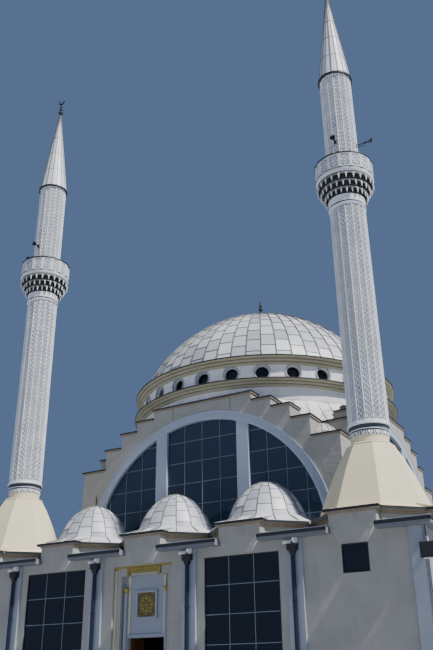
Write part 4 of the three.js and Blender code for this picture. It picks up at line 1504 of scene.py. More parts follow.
@dataclass
class SmallDomes:
    """The three ribbed domes on the front block."""

    radius: float = 1.911
    foot: float = 8.507
    rise: float = 1.997
    seams: int = 16
    rows: int = 5
    clear: float = 0.003

    def skirt(self) -> Form:
        """Builds the sheets from the dome's foot down to the octagon's eave."""
        seat, edge, top = PLAN.octagon_seat, PLAN.octagon_eave + 0.03, PLAN.octagon_eave_top
        profile = [
            (edge, top + 0.002), (edge, top + 0.025), (seat + 0.02, 8.47), (seat - 0.09, 8.545),
            (seat - 0.2, 8.545), (seat - 0.2, 8.452), (seat, 8.452),
        ]
        return Eaves().octagon_ring(profile, PLAN.bay / 2 - self.clear)

    def skirt_seams(self) -> Form:
        """Builds the seams that run on from the dome over the skirt and the pier's sheets."""
        form = Form()
        step = math.tau / self.seams
        eave = PLAN.octagon_eave_top
        for i in range(self.seams):
            over_pier = i in (0, self.seams - 1)
            distance = PLAN.octagon_y + PLAN.pier_eave if over_pier else PLAN.octagon_eave + 0.03
            reach = distance / math.cos(step / 2)
            outer = [(1.93, 8.62), (2.1, 8.555), (reach, eave + 0.075)]
            inner = [(1.93, 8.5), (2.1, 8.42), (reach, eave - 0.01)]
            form.add(hoop(outer, inner, -0.016, 0.016), [turn(step * (i + 0.5) - QUARTER)])
        return form.stopped(PLAN.bay / 2 - self.clear)

    def build(self) -> None:
        """Builds each dome with its skirt and finial."""
        dome = SheetDome(
            self.radius, self.foot, self.rise, self.seams, self.rows, 4, flare=0.1, lap=0.012,
            seam_width=0.03, seam_height=0.04, start=math.pi / self.seams, taper=0.311, fullness=2.932,
            power=0.565,
        )
        balls = (0.05, 0.18), (0.065, 0.34), (0.045, 0.46)
        finial = Finial(self.foot + self.rise, balls, 0.62, 0.1, 0.022)
        for name, x in (("left", -PLAN.bay), ("centre", 0.0), ("right", PLAN.bay)):
            place = PLAN.at_octagon(x)
            dome.build(f"dome_{name}", place, f"small_dome_{name}")
            publish(self.skirt(), f"dome_{name}_skirt", DOME_SHEET, place)
            publish(self.skirt_seams(), f"dome_{name}_skirt_seams", SEAM_SHEET, place)
            publish(finial.form(), f"dome_{name}_finial", EDGE_SHEET, place)


# Minarets


@dataclass
class Minaret:
    """A minaret above its base: carved shafts, a balcony on corbels, a cone and two horns."""

    name: str
    x: float
    sides: int = 16
    base: tuple[Pair, ...] = (
        (2.34, 8.34), (2.05, 9.1), (1.7, 10.0), (1.335, 10.8), (1.035, 11.36), (1.05, 11.4), (0.95, 11.46),
    )
    collar: float = 0.87
    collar_bottom: float = 11.42
    foot: float = 11.78
    frieze_foot: float = 0.84
    frieze_top: float = 12.27
    ring_top: float = 12.39
    shaft_foot: float = 0.96
    shaft_head: float = 0.945
    neck: float = 24.3
    corbel: float = 24.62
    balcony: float = 26.1
    floor: float = 26.3
    parapet_top: float = 27.04
    parapet: float = 1.56
    parapet_wall: float = 0.12
    upper: float = 0.89
    cone_foot: float = 33.05
    cone_rim: float = 0.99
    cone_tip: float = 39.95
    recess: float = 0.04
    rib: float = 0.034
    period: float = 0.56
    niches: int = 24
    tiers: int = 3
    horn_height: float = 28.25
    horn_reach: Pair = (1.03, 1.45)

    @property
    def sector(self) -> float:
        """Half the angle that one side of the shaft takes up."""
        return math.pi / self.sides

    def carved_panel(self, half: float, low: float, high: float) -> Form:
        """Builds the carving of one long panel: two crossing strands with buds in their loops.

        Args:
            half: Half the panel's clear width.
            low: Height of its foot.
            high: Height of its head.

        Returns:
            The carving, in front of Y = 0.
        """
        form = Form()
        count = round((high - low) / self.period)
        period = (high - low) / count
        reach, steps = half - 0.045, 10
        for phase in (0.0, math.pi):
            path = [
                (reach * math.sin(math.tau * i / steps + phase), low + period * i / steps)
                for i in range(count * steps + 1)
            ]
            form.add(ridge(path, 0.075, self.recess - 0.004))
        bud, leaf = (
            stud(base, tip, self.recess - inset, sides, upright_to_front(0, (inset - self.recess) / 2, 0))
            for base, tip, inset, sides in ((0.042, 0.012, 0.01, 6), (0.05, 0.01, 0.014, 3))
        )
        stretch = Matrix.Diagonal((0.8, 1, 1.5, 1))
        form.add(bud, [move(z=low + period * (i + 0.5) / 2) @ stretch for i in range(count * 2)])
        return form.add(leaf, [
            move(hand * (half - 0.03), 0, low + period * i / 2) @ turn(hand * QUARTER, "Y")
            for i in range(1, count * 2) for hand in BOTH
        ])

    def base_form(self) -> tuple[Form, Form]:
        """Builds the octagon with its piers and the curved pyramid with its collar."""
        hand = HANDS[self.name]
        flat, eave, root = PLAN.octagon_flat, PLAN.octagon_eave, PLAN.roof_underside
        under, top = PLAN.octagon_eave_bottom, PLAN.octagon_eave_top
        corner = 1 / math.cos(math.pi / 8)
        outline = [(0, root), (flat, root), (flat, under), (eave, under), (eave, top), (0, top)]
        drum = turned([(distance * corner, z) for distance, z in outline], 8).clipped(1, PLAN.octagon_back)
        front = move(hand * (PLAN.outer_pier - PLAN.outer_bay))
        side = turn(hand * QUARTER)
        side_reach = PLAN.half_width - PLAN.outer_bay
        drum.add(Piers.pier(PLAN.octagon_y, root), [front]).add(Piers.pier(side_reach, PLAN.roof_top), [side])
        rim = eave - 0.01
        outline = [(0, top - 0.05), (rim, top - 0.05), (rim, top), *self.base, (0, self.base[-1][1])]
        pyramid = turned([(distance * corner, z) for distance, z in outline], 8).clipped(1, PLAN.octagon_back)
        pyramid.add(rod(self.collar, self.collar_bottom, self.foot - 0.002, 48))
        edge, ridge_y, ridge_z = -PLAN.octagon_y - PLAN.pier_eave, -PLAN.pier_ridge_reach, PLAN.pier_ridge
        slope = [(edge, top + 0.003), (ridge_y, ridge_z + 0.003), (ridge_y, ridge_z - 0.2), (edge, top - 0.02)]
        half = PLAN.pier_eave_half + 0.003
        cover = Form().add(prism(slope, -half, half), [turn(QUARTER)])
        return drum, pyramid.add(cover, [front, side @ move(0, PLAN.octagon_y - side_reach)])

    def carved_shaft(
        self, radius: float, head: float, low: float, high: float, margin: float
    ) -> tuple[Form, Form]:
        """Builds a many-sided shaft with ribs on its corners and a carved panel on each side.

        Args:
            radius: Radius to the corners at the foot.
            head: Radius to the corners at the head.
            low: Height of its foot.
            high: Height of its head.
            margin: Plain band at both ends of the panels.

        Returns:
            The ground and the carving, about the shaft's own axis.
        """
        core = radius - self.recess
        form = Form().add(rod(self.rib, low, high, 8), around(self.sides, radius - self.rib, 0.5))
        half = radius * math.sin(self.sector) - self.rib
        panel = self.carved_panel(half, low + margin, high - margin)
        form.add(panel, around(self.sides, core * math.cos(self.sector)))
        for z in (low, high - margin):
            form.add(collar(core * 0.9, radius - self.recess * 0.3, z, z + margin, self.sides))
        ground = rod(core, low, high, self.sides)
        for part in (ground, form):
            part.narrow(lambda z: 1 + (head / radius - 1) * (z - low) / (high - low))
        return ground, form

    @staticmethod
    def roll(radius: float, z: float, size: float) -> Form:
        """Builds a round moulding of a given size about a shaft."""
        circle = polygon(size, 12, z=z)
        return turned([(radius + max(-size / 2, out), height) for out, height in circle], 48, closed=True)

    def frieze(self) -> Form:
        """Builds the discs and stems of the flaring frieze."""
        disc = Form()
        for outer, inner in ((0.115, 0.08), (0.05, 0.015)):
            disc.add(hoop(polygon(outer, 12), polygon(inner, 12), -0.035, 0.0, closed=True))
        spoke = prism([(-0.012, 0.045), (0.012, 0.045), (0.02, 0.1), (-0.02, 0.1)], -0.026, 0.0)
        disc.add(spoke, [turn(math.tau * i / 6, "Y") for i in range(6)])
        waist = [(-0.03, -0.13), (0.03, -0.13), (0.018, 0.0), (0.03, 0.13), (-0.03, 0.13), (-0.018, 0.0)]
        stem = prism(waist, -0.03, 0.0)
        slope = (self.shaft_foot - self.frieze_foot) / (self.frieze_top - self.foot)
        rise = 0.15
        lean = [move(z=self.foot + rise) @ turn(-math.atan(slope), "X")]
        radius = self.frieze_foot - 0.02 + slope * rise
        form = Form().add(Form().add(disc, lean), around(self.sides, radius))
        form.add(Form().add(stem, lean), around(self.sides, radius + 0.004, 0.5))
        form.add(self.roll(self.frieze_foot, self.foot + 0.025, 0.025))
        return form.add(self.roll(self.frieze_foot + slope * 0.28 - 0.01, self.foot + 0.3, 0.022))

    def shaft(self) -> tuple[Form, Form]:
        """Builds the main shaft with its flaring frieze and rolls, as a dark ground of painted shade and pale
        carving.
        """
        foot, head, low = self.shaft_foot, self.shaft_head, self.foot
        ground, form = self.carved_shaft(foot, head, self.ring_top - 0.02, self.neck, 0.14)
        ground.add(turned([
            (0, low), (self.frieze_foot - 0.02, low), (foot - 0.02, self.frieze_top),
            (foot - 0.05, self.ring_top), (0, self.ring_top),
        ], 48))
        form.add(self.frieze())
        form.add(self.roll(foot, (self.frieze_top + self.ring_top) / 2, 0.05))
        form.add(self.roll(head - 0.01, self.neck - 0.04, 0.055))
        neck = head - 0.02
        ground.add(rod(neck, self.neck, self.corbel, 32))
        inner, top = neck - 0.05, self.corbel + 0.16
        band = [(inner, self.neck + 0.1), (neck + 0.03, self.neck + 0.12), (neck + 0.05, top), (inner, top)]
        return ground, form.add(turned(band, 48, closed=True))

    def niche(self, half: float, low: float, high: float, depth: float) -> Form:
        """Builds the front of one corbel niche: a plate with a pointed arch.

        Args:
            half: Half its width.
            low: Height of its foot.
            high: Height of its head.
            depth: How thick the plate is.

        Returns:
            The plate, behind Y = 0.
        """
        spring = low + (high - low) * 0.35
        apex, span = high - 0.06, half - 0.025
        arch = [
            (-span * (1 - share ** 1.6), spring + (apex - spring) * math.sin(share * QUARTER))
            for share in (i / 6 for i in range(7))
        ]
        left = [(-half, high), (-half, low), (-span, low), *arch]
        return prism([*left, *((-x, z) for x, z in reversed(left[:-1]))], 0.0, depth)

    def corbels(self) -> tuple[Form, Form, Form]:
        """Builds three tiers of niches before a dark ground of painted shade, with pale drops under a smooth
        ledge.
        """
        base = self.shaft_head + 0.03
        reach = (self.parapet - 0.05 - base) / self.tiers
        crown, start = self.balcony - 0.28, self.corbel + 0.2
        rise = (crown - start) / self.tiers
        steps = [(0.0, start)]
        form, pale = Form(), Form()
        for i in range(self.tiers):
            foot, inner = start + i * rise, base + i * reach - 0.02
            steps += [(inner, foot), (inner, foot + rise - 0.05), (inner + reach, foot + rise - 0.05)]
            outer = base + (i + 1) * reach
            half, flat = outer * math.sin(math.pi / self.niches), outer * math.cos(math.pi / self.niches)
            offset = 0.5 * (i % 2)
            form.add(self.niche(half, foot + 0.03, foot + rise - 0.03, 0.07), around(self.niches, flat, offset))
            drop = turned([
                (0, foot - 0.06), (0.024, foot - 0.04), (0.02, foot), (0.04, foot + 0.06), (0.048, foot + 0.18),
                (0.03, foot + 0.26), (0, foot + 0.26),
            ], 8)
            pale.add(drop, around(self.niches, outer - 0.025, offset + 0.5))
        rim, top = self.parapet, self.balcony - 0.04
        back = rim - 0.07
        ground = turned([*steps, (back, crown), (back, self.balcony), (0.0, self.balcony)], 48)
        ledge = [
            (rim - 0.2, crown - 0.03), (rim - 0.11, crown - 0.02), (rim - 0.05, crown + 0.05),
            (rim - 0.015, crown + 0.15), (rim - 0.005, top), (rim - 0.2, top),
        ]
        return ground, form, pale.add(turned(ledge, 48, closed=True))

    def parapet_panel(self, half: float, low: float, high: float) -> Form:
        """Builds the raised work of one parapet panel: a frame, two crossing squares and a ring.

        Args:
            half: Half the panel's width.
            low: Height of its foot.
            high: Height of its head.

        Returns:
            The work, in front of Y = 0.
        """
        rim, middle, rise = 0.055, (low + high) / 2, (high - low) / 2
        form = hoop(gate(half, low, high), gate(half - rim, low + rim, high - rim), -0.035, 0.0, closed=True)
        size = min(half, rise) - rim
        stretch = [move(z=middle) @ Matrix.Diagonal((1, 1, 1.35, 1))]
        for start in (0, EIGHTH):
            lines = (polygon(size - inset, 4, start) for inset in (0, 0.04))
            form.add(hoop(*lines, -0.03, 0.0, closed=True), stretch)
        lines = (polygon(size * 0.42 - inset, 12, z=middle) for inset in (0, 0.03))
        form.add(hoop(*lines, -0.034, 0.0, closed=True))
        form.add(prism(polygon(0.03, 8, z=middle), -0.034, 0.0))
        for x, z in CORNERS:
            centre = (x * (half - rim - 0.05), middle + z * (rise - rim - 0.05))
            form.add(prism(polygon(0.035, 6, 0, *centre), -0.026, 0.0))
        return form

    def balcony_form(self) -> tuple[Form, Form]:
        """Builds the walkway and the parapet, as ground and raised work."""
        wall, inside = self.parapet - 0.035, self.parapet - self.parapet_wall
        low, top = self.balcony - 0.02, self.parapet_top - 0.05
        line = [(0, low), (wall, low), (wall, top), (inside, top), (inside, self.floor), (0, self.floor)]
        ground = turned(line, self.sides)
        half, flat = wall * math.sin(self.sector), wall * math.cos(self.sector)
        panel = self.parapet_panel(half - 0.012, self.balcony + 0.02, top - 0.02)
        post = block((-0.035, -0.012, self.balcony), (0.035, 0.06, top), 0.008)
        return ground, Form().add(panel, around(self.sides, flat)).add(post, around(self.sides, wall, 0.5))

    def edges(self) -> Form:
        """Builds the dark copings of the parapet and the rim of the cone."""
        top, low, foot = self.parapet_top, self.balcony - 0.035, self.cone_foot
        inside, out = self.parapet - self.parapet_wall - 0.02, self.parapet + 0.03
        form = collar(inside, out, top - 0.055, top + 0.005, self.sides)
        form.add(collar(1.3, out, low, low + 0.035, self.sides))
        return form.add(collar(self.upper - 0.1, self.cone_rim, foot, foot + 0.1, self.sides))

    def cone(self) -> tuple[Form, Form]:
        """Builds the metal cone and its seams."""
        low, rim, tip = self.cone_foot + 0.1, self.cone_rim - 0.03, self.cone_tip
        form = turned([(0, low), (rim, low), (rim - 0.06, low + 0.12), (0.05, tip), (0, tip)], self.sides)
        outer = [(rim + 0.02, low), (rim - 0.04, low + 0.12), (0.07, tip)]
        inner = [(rim - 0.04, low), (rim - 0.09, low + 0.12), (0.03, tip)]
        places = [turn(self.sector * (2 * i + 1)) for i in range(self.sides)]
        seams = Form().add(hoop(outer, inner, -0.014, 0.014), places)
        slope = (rim - 0.11) / (tip - low)
        for share in (0.22, 0.45, 0.66):
            z = low + (tip - low) * share
            r = rim - 0.055 - slope * (z - low)
            seams.add(collar(r - 0.03, r + 0.014, z, z + 0.02, self.sides))
        return form, seams

    def horn(self, reach: float) -> Form:
        """Builds a horn that looks to the front, on its bracket from the upper shaft.

        Args:
            reach: Distance from the minaret's axis to the back of the bell.

        Returns:
            The horn about the minaret's axis.
        """
        profile = [
            (0, -0.12), (0.06, -0.12), (0.07, -0.1), (0.07, -0.02), (0.035, 0.0), (0.04, 0.06), (0.07, 0.16),
            (0.145, 0.27), (0.16, 0.29), (0.155, 0.3), (0.135, 0.28), (0.06, 0.16), (0.03, 0.08), (0.0, 0.08),
        ]
        z, face = self.horn_height, 0.03 - self.upper * math.cos(self.sector)
        form = Form().add(turned(profile, 32), [upright_to_front(0, -reach, z)])
        form.add(block((-0.02, -reach, z - 0.02), (0.02, face, z + 0.02), 0.004))
        form.add(block((-0.06, face - 0.045, z - 0.1), (0.06, face, z + 0.1), 0.006))
        return form.add(block((-0.015, 0.1 - reach, z - 0.16), (0.015, face, z - 0.13), 0.003))

    def build(self) -> None:
        """Builds the minaret's pieces, some of which stand for a part of the frame's minaret."""
        name, place = self.name, PLAN.at_octagon(self.x)
        drum, pyramid = self.base_form()
        shaft, carving = self.shaft()
        parapet, panels = self.balcony_form()
        shadow, niches, pale = self.corbels()
        upper, upper_carving = self.carved_shaft(self.upper, self.upper, self.floor, self.cone_foot, 0.12)
        cone, seams = self.cone()
        balls = (0.17, 0.24), (0.12, 0.54), (0.085, 0.78)
        finial = Finial(self.cone_tip - 0.02, balls, 1.0, 0.09, 0.03, 0.26)
        for form, part, finish, replaced in (
            (drum, "octagon", WALL_RENDER, "base"),
            (pyramid, "base", CREAM_RENDER, ""),
            (shaft, "shaft", CARVED_GROUND, "shaft"),
            (carving, "shaft_relief", CAST_STONE, ""),
            (parapet, "balcony", PANEL_STONE, "balcony"),
            (panels.add(pale), "balcony_relief", CAST_STONE, ""),
            (shadow, "corbel_painted_shade", NICHE_SHADE_AND_JOINTS, ""),
            (niches, "corbels", CORBEL_STONE, ""),
            (upper, "upper_shaft", CARVED_GROUND, "upper_shaft"),
            (upper_carving, "upper_shaft_relief", CAST_STONE, ""),
            (cone, "cone", DOME_SHEET, "spire"),
            (seams, "cone_seams", SEAM_SHEET, ""),
            (self.edges(), "edges", EDGE_SHEET, ""),
            (finial.form(), "finial", EDGE_SHEET, ""),
        ):
            node = f"minaret_{replaced}_{name}" if replaced else ""
            publish(form, f"minaret_{name}_{part}", finish, place, node)
        for side, angle, reach in zip(("front", "side"), (0.0, HANDS[name] * QUARTER), self.horn_reach):
            out = place @ turn(angle)
            publish(self.horn(reach), f"horn_{side}_{name}", HORN_PLASTIC, out, f"loudspeaker_{side}_{name}")


# Hall


@dataclass
class Gable:
    """Trim of one gable: caps on its steps, the arch band, posts and window bars."""

    side: Side
    steps: tuple[Pair, ...] = (
        (3.23, 16.36), (4.41, 15.84), (5.54, 15.26), (6.65, 14.42), (PLAN.hall_half, 13.26),
    )
    thickness: float = 1.3
    cap: float = 0.07
    cap_reach: float = 0.1
    cap_board: float = 0.11
    centre: float = 7.95
    outer: float = 7.69
    inner: float = 7.27
    arch_steps: int = 72
    glass: float = 0.15
    post_middle: float = 2.63
    post_half: float = 0.367
    post_top: float = 14.9
    bar: float = 0.034
    rows: int = 6
    row_step: float = 1.2
    first_row: float = 8.15
    joint_x: float = 1.9
    columns: tuple[float, ...] = (0.0, 1.15, 4.05, 5.15, 6.25)

    def spans(self, reach: float, gap: float = 0.0) -> list[Point]:
        """Lists the covers of the steps. At the corners those of the front and back gables run through.

        Args:
            reach: How far a cover passes its step.
            gap: How far it keeps from the step over it.

        Returns:
            Both ends in X and the height of each cover.
        """
        spans = []
        inner = 0.0
        for half, top in self.steps:
            stops = half == PLAN.hall_half and self.side in (Side.RIGHT, Side.LEFT)
            end = half - self.thickness if stops else half + reach
            spans += [(inner + gap, end, top), (-end, -inner - gap, top)] if inner else [(-end, end, top)]
            inner = half
        return spans

    def caps(self) -> Form:
        """Builds the folded metal caps on the steps."""
        form = Form()
        for x0, x1, top in self.spans(self.cap_reach):
            bottom = top - 0.02
            form.add(block((x0, -self.cap_reach, bottom), (x1, self.thickness, bottom + self.cap), 0.012))
        return form

    def boards(self) -> Form:
        """Builds the brown boards under the caps."""
        form = Form()
        reach = self.cap_reach - 0.035
        for x0, x1, top in self.spans(reach, reach):
            low = (x0, -reach, top - self.cap_board)
            form.add(block(low, (x1, self.thickness - 0.01, top - 0.02), 0.008))
        return form

    def band(self) -> Form:
        """Builds the arch band with its lining and an outer bead."""
        form = Form()
        lip = self.inner - 0.03
        for outer, inner, near, far in (
            (self.outer, lip, -0.045, 0.02),
            (self.inner + 0.02, lip, 0.0, self.glass),
            (self.outer + 0.03, self.outer - 0.03, -0.065, 0.02),
        ):
            lines = (arc(radius, self.centre, self.arch_steps) for radius in (outer, inner))
            form.add(hoop(*lines, near, far))
        return form

    def posts(self) -> Form:
        """Builds the casings of the two posts between the lights."""
        half = self.post_half
        post = block((-half, -0.03, self.centre + 0.004), (half, self.glass, self.post_top), 0.012)
        return Form().add(post, [move(hand * self.post_middle) for hand in BOTH])

    def joints(self) -> Form:
        """Builds the two narrow upright joints in the render over the arch."""
        low = self.centre + math.sqrt(self.outer ** 2 - self.joint_x ** 2) + 0.05
        joint = block((-0.014, -0.004, low), (0.014, 0.01, self.steps[0][1] - self.cap_board))
        return Form().add(joint, [move(hand * self.joint_x) for hand in BOTH])

    def bars(self) -> Form:
        """Builds the light window bars, cut to the arch."""
        form = Form()
        reach, half = self.inner + 0.04, self.bar / 2
        near, far = self.glass - 0.035, self.glass + 0.002
        for x in sorted({hand * x for x in self.columns for hand in BOTH}):
            top = self.centre + math.sqrt(reach ** 2 - x ** 2)
            form.add(block((x - half, near, self.centre), (x + half, far, top), 0.006))
        for i in range(self.rows):
            z = self.first_row + i * self.row_step
            wide = math.sqrt(reach ** 2 - (z - self.centre) ** 2)
            form.add(block((-wide, near + 0.012, z - half), (wide, far, z + half), 0.006))
        return form.add(block((-reach, near - 0.02, self.centre), (reach, far, self.centre + 0.09), 0.008))

    def build(self) -> None:
        """Builds the gable's trim."""
        for form, part, finish in (
            (self.caps(), "gable_caps", EDGE_SHEET), (self.boards(), "gable_boards", SOFFIT_PAINT),
            (self.band(), "arch_band", ARCH_PAINT), (self.posts(), "arch_posts", ARCH_PAINT),
            (self.bars(), "arch_bars", FRAME_ALUMINIUM), (self.joints(), "gable_joints", NICHE_SHADE_AND_JOINTS),
        ):
            publish(form, f"{part}_{self.side.name.lower()}", finish, PLAN.on_hall(self.side))


@dataclass
class CornerRoof:
    """The fan of sheets and the quarter dome in one corner between two gables."""

    name: str
    turns: int
    drum: float = 8.1
    top: float = 16.12
    step: float = 6.65
    foot: float = 14.44
    sheet: float = 0.06
    clip: float = 6.97
    platform: float = 13.27
    dome_radius: float = 0.95
    dome_rise: float = 1.05
    seam_angles: tuple[float, ...] = (33, 37.5, 42.5, 47.5, 52.5, 57)

    def fan(self) -> tuple[Form, Form]:
        """Builds the sloping sheets and their seams, with the corner looking to +X and +Y."""
        inner, edge = self.drum - 0.1, self.step * math.sqrt(2)
        slope = (self.top - self.foot) / (edge - inner)
        sheet = turned([
            (inner, self.top), (edge, self.foot), (edge, self.foot - self.sheet),
            (inner, self.top - self.sheet),
        ], 16, closed=True, start=math.radians(27), sweep=math.radians(36))
        seams = Form()
        for angle in (math.radians(degrees) for degrees in self.seam_angles):
            far = min(edge, self.clip / max(math.cos(angle), math.sin(angle))) - 0.01
            outer, lower = (
                [(radius, self.top - slope * (radius - inner) + rise) for radius in (inner, far)]
                for rise in (0.05, -0.03)
            )
            seams.add(hoop(outer, lower, -0.018, 0.018), [turn(angle)])
        return sheet.clipped(0, self.clip).clipped(1, self.clip), seams

    def edge_caps(self) -> Form:
        """Builds the dark edge over the corner of the fan."""
        near, far = self.step - 0.04, self.step + 0.06
        bottom, top = self.foot - self.sheet, self.foot + 0.03
        form = block((near, near, bottom), (far, self.clip, top), 0.01)
        return form.add(block((near, near, bottom), (self.clip, far, top), 0.01))

    def build(self) -> None:
        """Builds the corner's pieces."""
        middle = move(0, PLAN.hall_y) @ turn(self.turns * QUARTER)
        sheet, seams = self.fan()
        publish(sheet, f"corner_fan_{self.name}", STAINED_SHEET, middle)
        publish(seams, f"corner_fan_{self.name}_seams", SEAM_SHEET, middle)
        publish(self.edge_caps(), f"corner_edge_{self.name}", EDGE_SHEET, middle)
        SheetDome(
            self.dome_radius, self.platform, self.dome_rise, 16, 2, 3, shell=0.06, lap=0.01, seam_width=0.025,
            seam_height=0.025, panels=4, sheet=STAINED_SHEET,
        ).build(f"corner_dome_{self.name}", middle @ move(self.step, self.step))


@dataclass
class Drum:
    """The round wall with its ring of deep round windows and two moulded cornices.

    A cornice's outer line gives how far it stands out from the wall at each height.
    """

    outer: float = 8.1
    inner: float = 7.8
    bottom: float = 16.1
    top: float = 18.75
    count: int = 28
    window_radius: float = 0.43
    window_z: float = 17.77
    panel_steps: int = 8
    ring_sides: int = 40
    segments: int = 112
    lower: tuple[Pair, ...] = (
        (0.0, 16.84), (0.1, 16.86), (0.15, 16.93), (0.15, 16.96), (0.08, 16.965), (0.08, 17.0), (0.23, 17.005),
        (0.29, 17.07), (0.29, 17.1), (0.22, 17.105), (0.22, 17.14), (0.4, 17.145), (0.49, 17.19), (0.49, 17.23),
        (0.0, 17.29),
    )
    upper: tuple[Pair, ...] = (
        (0.0, 18.2), (0.09, 18.22), (0.13, 18.3), (0.13, 18.33), (0.06, 18.335), (0.06, 18.38), (0.2, 18.385),
        (0.25, 18.46), (0.25, 18.49), (0.18, 18.495), (0.18, 18.54), (0.34, 18.545), (0.42, 18.6),
        (0.42, 18.66), (0.0, 18.74),
    )
    edge_lines: tuple[Pair, ...] = ((0.49, 17.21), (0.42, 18.63))

    def panel(self) -> Form:
        """Builds one bay of the wall's face with a round hole, and bends it to the wall's curve."""
        form = Form()
        steps, low, high = self.panel_steps, self.bottom, self.top
        half = math.pi * self.outer / self.count
        xs = [half * (2 * i / steps - 1) for i in range(steps + 1)]
        zs = [low + (high - low) * i / steps for i in range(steps + 1)]
        rim = [(x, low) for x in xs[:-1]] + [(half, z) for z in zs[:-1]]
        rim += [(x, high) for x in reversed(xs[1:])] + [(-half, z) for z in reversed(zs[1:])]
        hole = polygon(self.window_radius, steps * 4, -3 * EIGHTH, z=self.window_z)
        loops = []
        for line in (rim, hole):
            points = [form.mesh.verts.new((x, 0, z)) for x, z in line]
            loops += [form.mesh.edges.new(pair) for pair in zip(points, points[1:] + points[:1])]
        bmesh.ops.bridge_loops(form.mesh, edges=loops)
        for vertex in form.mesh.verts:
            angle = vertex.co.x / self.outer
            vertex.co.xy = self.outer * math.sin(angle), -self.outer * math.cos(angle)
        return form

    def wall(self) -> Form:
        """Builds the whole wall with its thickness and reveals."""
        form = Form().add(self.panel(), around(self.count))
        bmesh.ops.remove_doubles(form.mesh, verts=form.mesh.verts, dist=MERGE * 10)
        bmesh.ops.recalc_face_normals(form.mesh, faces=form.mesh.faces)
        sample = min(form.mesh.faces, key=lambda face: face.calc_center_median().y)
        if sample.normal.y > 0:
            bmesh.ops.reverse_faces(form.mesh, faces=form.mesh.faces)
        bmesh.ops.solidify(form.mesh, geom=form.mesh.faces[:], thickness=self.outer - self.inner - 0.02)
        return form.tidy()

    def rings(self) -> Form:
        """Builds the raised rings round the windows and the frames of their glass."""
        r, glass = self.window_radius, self.inner - self.outer + 0.12
        ring = turned([
            (r - 0.012, -0.05), (r - 0.012, 0.03), (r + 0.03, 0.045), (r + 0.075, 0.03), (r + 0.085, -0.05),
        ], self.ring_sides, closed=True)
        ring.add(collar(r - 0.06, r + 0.01, glass - 0.05, glass, self.ring_sides))
        upright = Form().add(ring, [upright_to_front(0, 0, self.window_z)])
        return Form().add(upright, around(self.count, self.outer))

    def cornice(self, steps: Profile) -> Form:
        """Builds one moulded cornice from its outer line."""
        back = self.outer - 0.1
        line = [(self.outer + out, z) for out, z in steps]
        return turned([(back, steps[0][1]), *line, (back, steps[-1][1])], self.segments, closed=True)

    def build(self) -> None:
        """Builds the drum's pieces."""
        place = move(0, PLAN.hall_y)
        publish(self.wall(), "drum_wall", CAST_STONE, place, "drum")
        # The grey of the rings is painted shade in the windows' reveals
        publish(self.rings(), "drum_window_rings", PANEL_STONE, place)
        publish(self.cornice(self.lower), "drum_cornice_lower", CORNICE_PAINT, place)
        publish(self.cornice(self.upper), "drum_cornice_upper", CORNICE_PAINT, place)
        edges = Form()
        for reach, z in self.edge_lines:
            rim = self.outer + reach
            edges.add(collar(rim - 0.06, rim + 0.03, z, z + 0.06, self.segments))
        publish(edges, "drum_edges", EDGE_SHEET, place)


@dataclass
class MainDome:
    """The wide sheet-covered dome with its finial."""

    radius: float = 7.995
    foot: float = 18.75
    rise: float = 5.85
    seams: int = 56
    rows: int = 10

    def build(self) -> None:
        """Builds the dome."""
        place = move(0, PLAN.hall_y)
        SheetDome(
            self.radius, self.foot, self.rise, self.seams, self.rows, 2, shell=0.2, lap=0.03, seam_width=0.045,
            seam_height=0.07, taper=0.22, fullness=2.156, power=0.526,
        ).build("great_dome", place, "main_dome")
        finial = Finial(self.foot + self.rise, ((0.17, 0.75), (0.15, 1.1), (0.11, 1.36)), 1.75, 0.2, 0.045)
        publish(finial.form(), "great_dome_finial", EDGE_SHEET, place)


# Frame nodes that show, and the studio


# Finishes by the start of a node's name. All other nodes are rendered walls
FRAME_FINISHES: dict[str, Finish] = {
    "ground_floor": FLOOR_CONCRETE,
    "front_roof": ROOF_SLAB,
    "wing_roof": ROOF_SLAB,
    "corner_roof": DOME_SHEET,
    "front_glass": TINTED_GLASS,
    "wing_glass": TINTED_GLASS,
    "back_glass": TINTED_GLASS,
    "lunette_glass": LUNETTE_GLASS,
    "oculus_glass": TINTED_GLASS,
}


def dress_frame() -> None:
    """Gives the frame's own pieces their finishes."""
    for name, piece in frame["nodes"].items():
        if piece.hide_render:
            continue
        finish = next((made for start, made in FRAME_FINISHES.items() if name.startswith(start)), WALL_RENDER)
        piece.data.materials.clear()
        piece.data.materials.append(material_of(finish))
        LOG.info("%s: %s", name, finish.name)


@dataclass(frozen=True)
class Lamp:
    """A soft lamp far away, with its angles in degrees.

    They are how far it is to the right of the front, how high it is and how wide it looks.
    """

    name: str
    azimuth: float
    elevation: float
    strength: float
    width: float

    def build(self) -> None:
        """Adds the lamp."""
        data = bpy.data.lights.new(self.name, "SUN")
        data.energy = self.strength
        data.angle = math.radians(self.width)
        lamp = bpy.data.objects.new(self.name, data)
        bpy.context.scene.collection.objects.link(lamp)
        side, rise = math.radians(self.azimuth), math.radians(self.elevation)
        towards = Vector((math.sin(side) * math.cos(rise), -math.cos(side) * math.cos(rise), math.sin(rise)))
        lamp.rotation_mode = "QUATERNION"
        lamp.rotation_quaternion = towards.to_track_quat("Z", "Y")


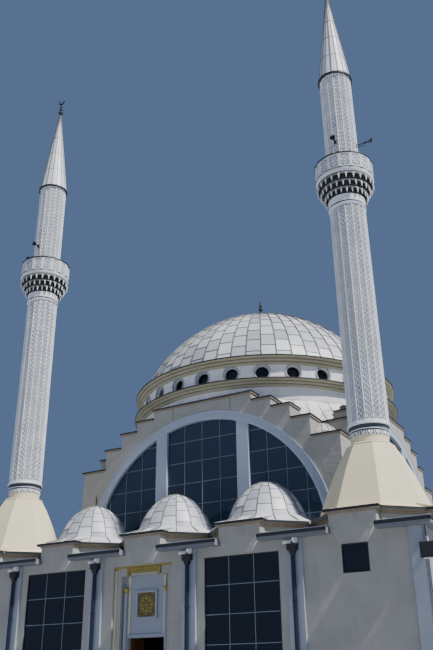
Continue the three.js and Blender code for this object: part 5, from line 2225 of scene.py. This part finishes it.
@dataclass
class Studio:
    """A pale floor, soft light from the right and a camera where the photographer stood."""

    camera_at: Point = (21.581, -30.453, 1.6)
    yaw: float = 29.815
    pitch: float = 25.134
    roll: float = 0.668
    focal_pixels: float = 767.45
    image_height: float = 650.0
    sensor: float = 36.0
    floor_size: float = 600.0
    floor_colour: str = "#ADAFB3"
    sky_colour: str = "#86A4D8"
    sky_strength: float = 0.42
    lamps: tuple[Lamp, ...] = (
        Lamp("key_lamp", 85.0, 52.0, 5.2, 2.0), Lamp("fill_lamp", -35.0, 30.0, 0.08, 60.0),
    )

    def camera(self) -> None:
        """Sets the camera to the photograph's place and angle."""
        yaw, pitch, roll = (math.radians(value) for value in (self.yaw, self.pitch, self.roll))
        forward = Vector((-math.sin(yaw) * math.cos(pitch), math.cos(yaw) * math.cos(pitch), math.sin(pitch)))
        level = Vector((math.cos(yaw), math.sin(yaw), 0))
        down = forward.cross(level)
        right = math.cos(roll) * level + math.sin(roll) * down
        up = math.sin(roll) * level - math.cos(roll) * down
        data = bpy.data.cameras.new("camera")
        data.sensor_width = self.sensor
        data.lens = self.focal_pixels / self.image_height * self.sensor
        data.clip_end = 1000
        camera = bpy.data.objects.new("camera", data)
        bpy.context.scene.collection.objects.link(camera)
        facing = Matrix((right, up, -forward)).transposed().to_4x4()
        camera.matrix_world = Matrix.Translation(PLAN.to_model() @ Vector(self.camera_at)) @ facing
        bpy.context.scene.camera = camera

    def floor(self) -> None:
        """Builds the floor just under the building."""
        form = Form()
        bmesh.ops.create_grid(form.mesh, x_segments=1, y_segments=1, size=self.floor_size / 2)
        form.mesh.transform(move(z=-0.002))
        mesh = bpy.data.meshes.new("studio_floor")
        form.mesh.to_mesh(mesh)
        form.mesh.free()
        mesh.materials.append(material_of(Finish("studio_floor", "", (self.floor_colour,), roughness=0.9)))
        floor = bpy.data.objects.new("studio_floor", mesh)
        bpy.context.scene.collection.objects.link(floor)

    def build(self) -> None:
        """Builds the floor, the backdrop's light, the lamps and the camera."""
        self.floor()
        world = bpy.data.worlds.new("studio")
        bpy.context.scene.world = world
        world.use_nodes = True
        background = world.node_tree.nodes["Background"]
        background.inputs["Color"].default_value = linear(self.sky_colour)
        background.inputs["Strength"].default_value = self.sky_strength
        for lamp in self.lamps:
            lamp.build()
        self.camera()


def main() -> None:
    """Builds the whole building in order."""
    logging.basicConfig(level=logging.INFO, format="%(message)s")
    for part in (Studio(), Joinery(), Pilasters(), Eaves(), Piers(), Rosettes()):
        part.build()
    for name, bays in (("outer_left", -1.5), ("inner_left", -0.5), ("inner_right", 0.5), ("outer_right", 1.5)):
        Downpipe(name, bays * PLAN.bay).build()
    for part in (Floodlight(), Portal(), SmallDomes()):
        part.build()
    for name, hand in HANDS.items():
        Minaret(name, hand * PLAN.outer_bay).build()
    for side in Side:
        Gable(side).build()
    for name, turns in (("back_right", 0), ("back_left", 1), ("front_left", 2), ("front_right", 3)):
        CornerRoof(name, turns).build()
    Drum().build()
    MainDome().build()
    dress_frame()


if __name__ == "__main__":
    main()
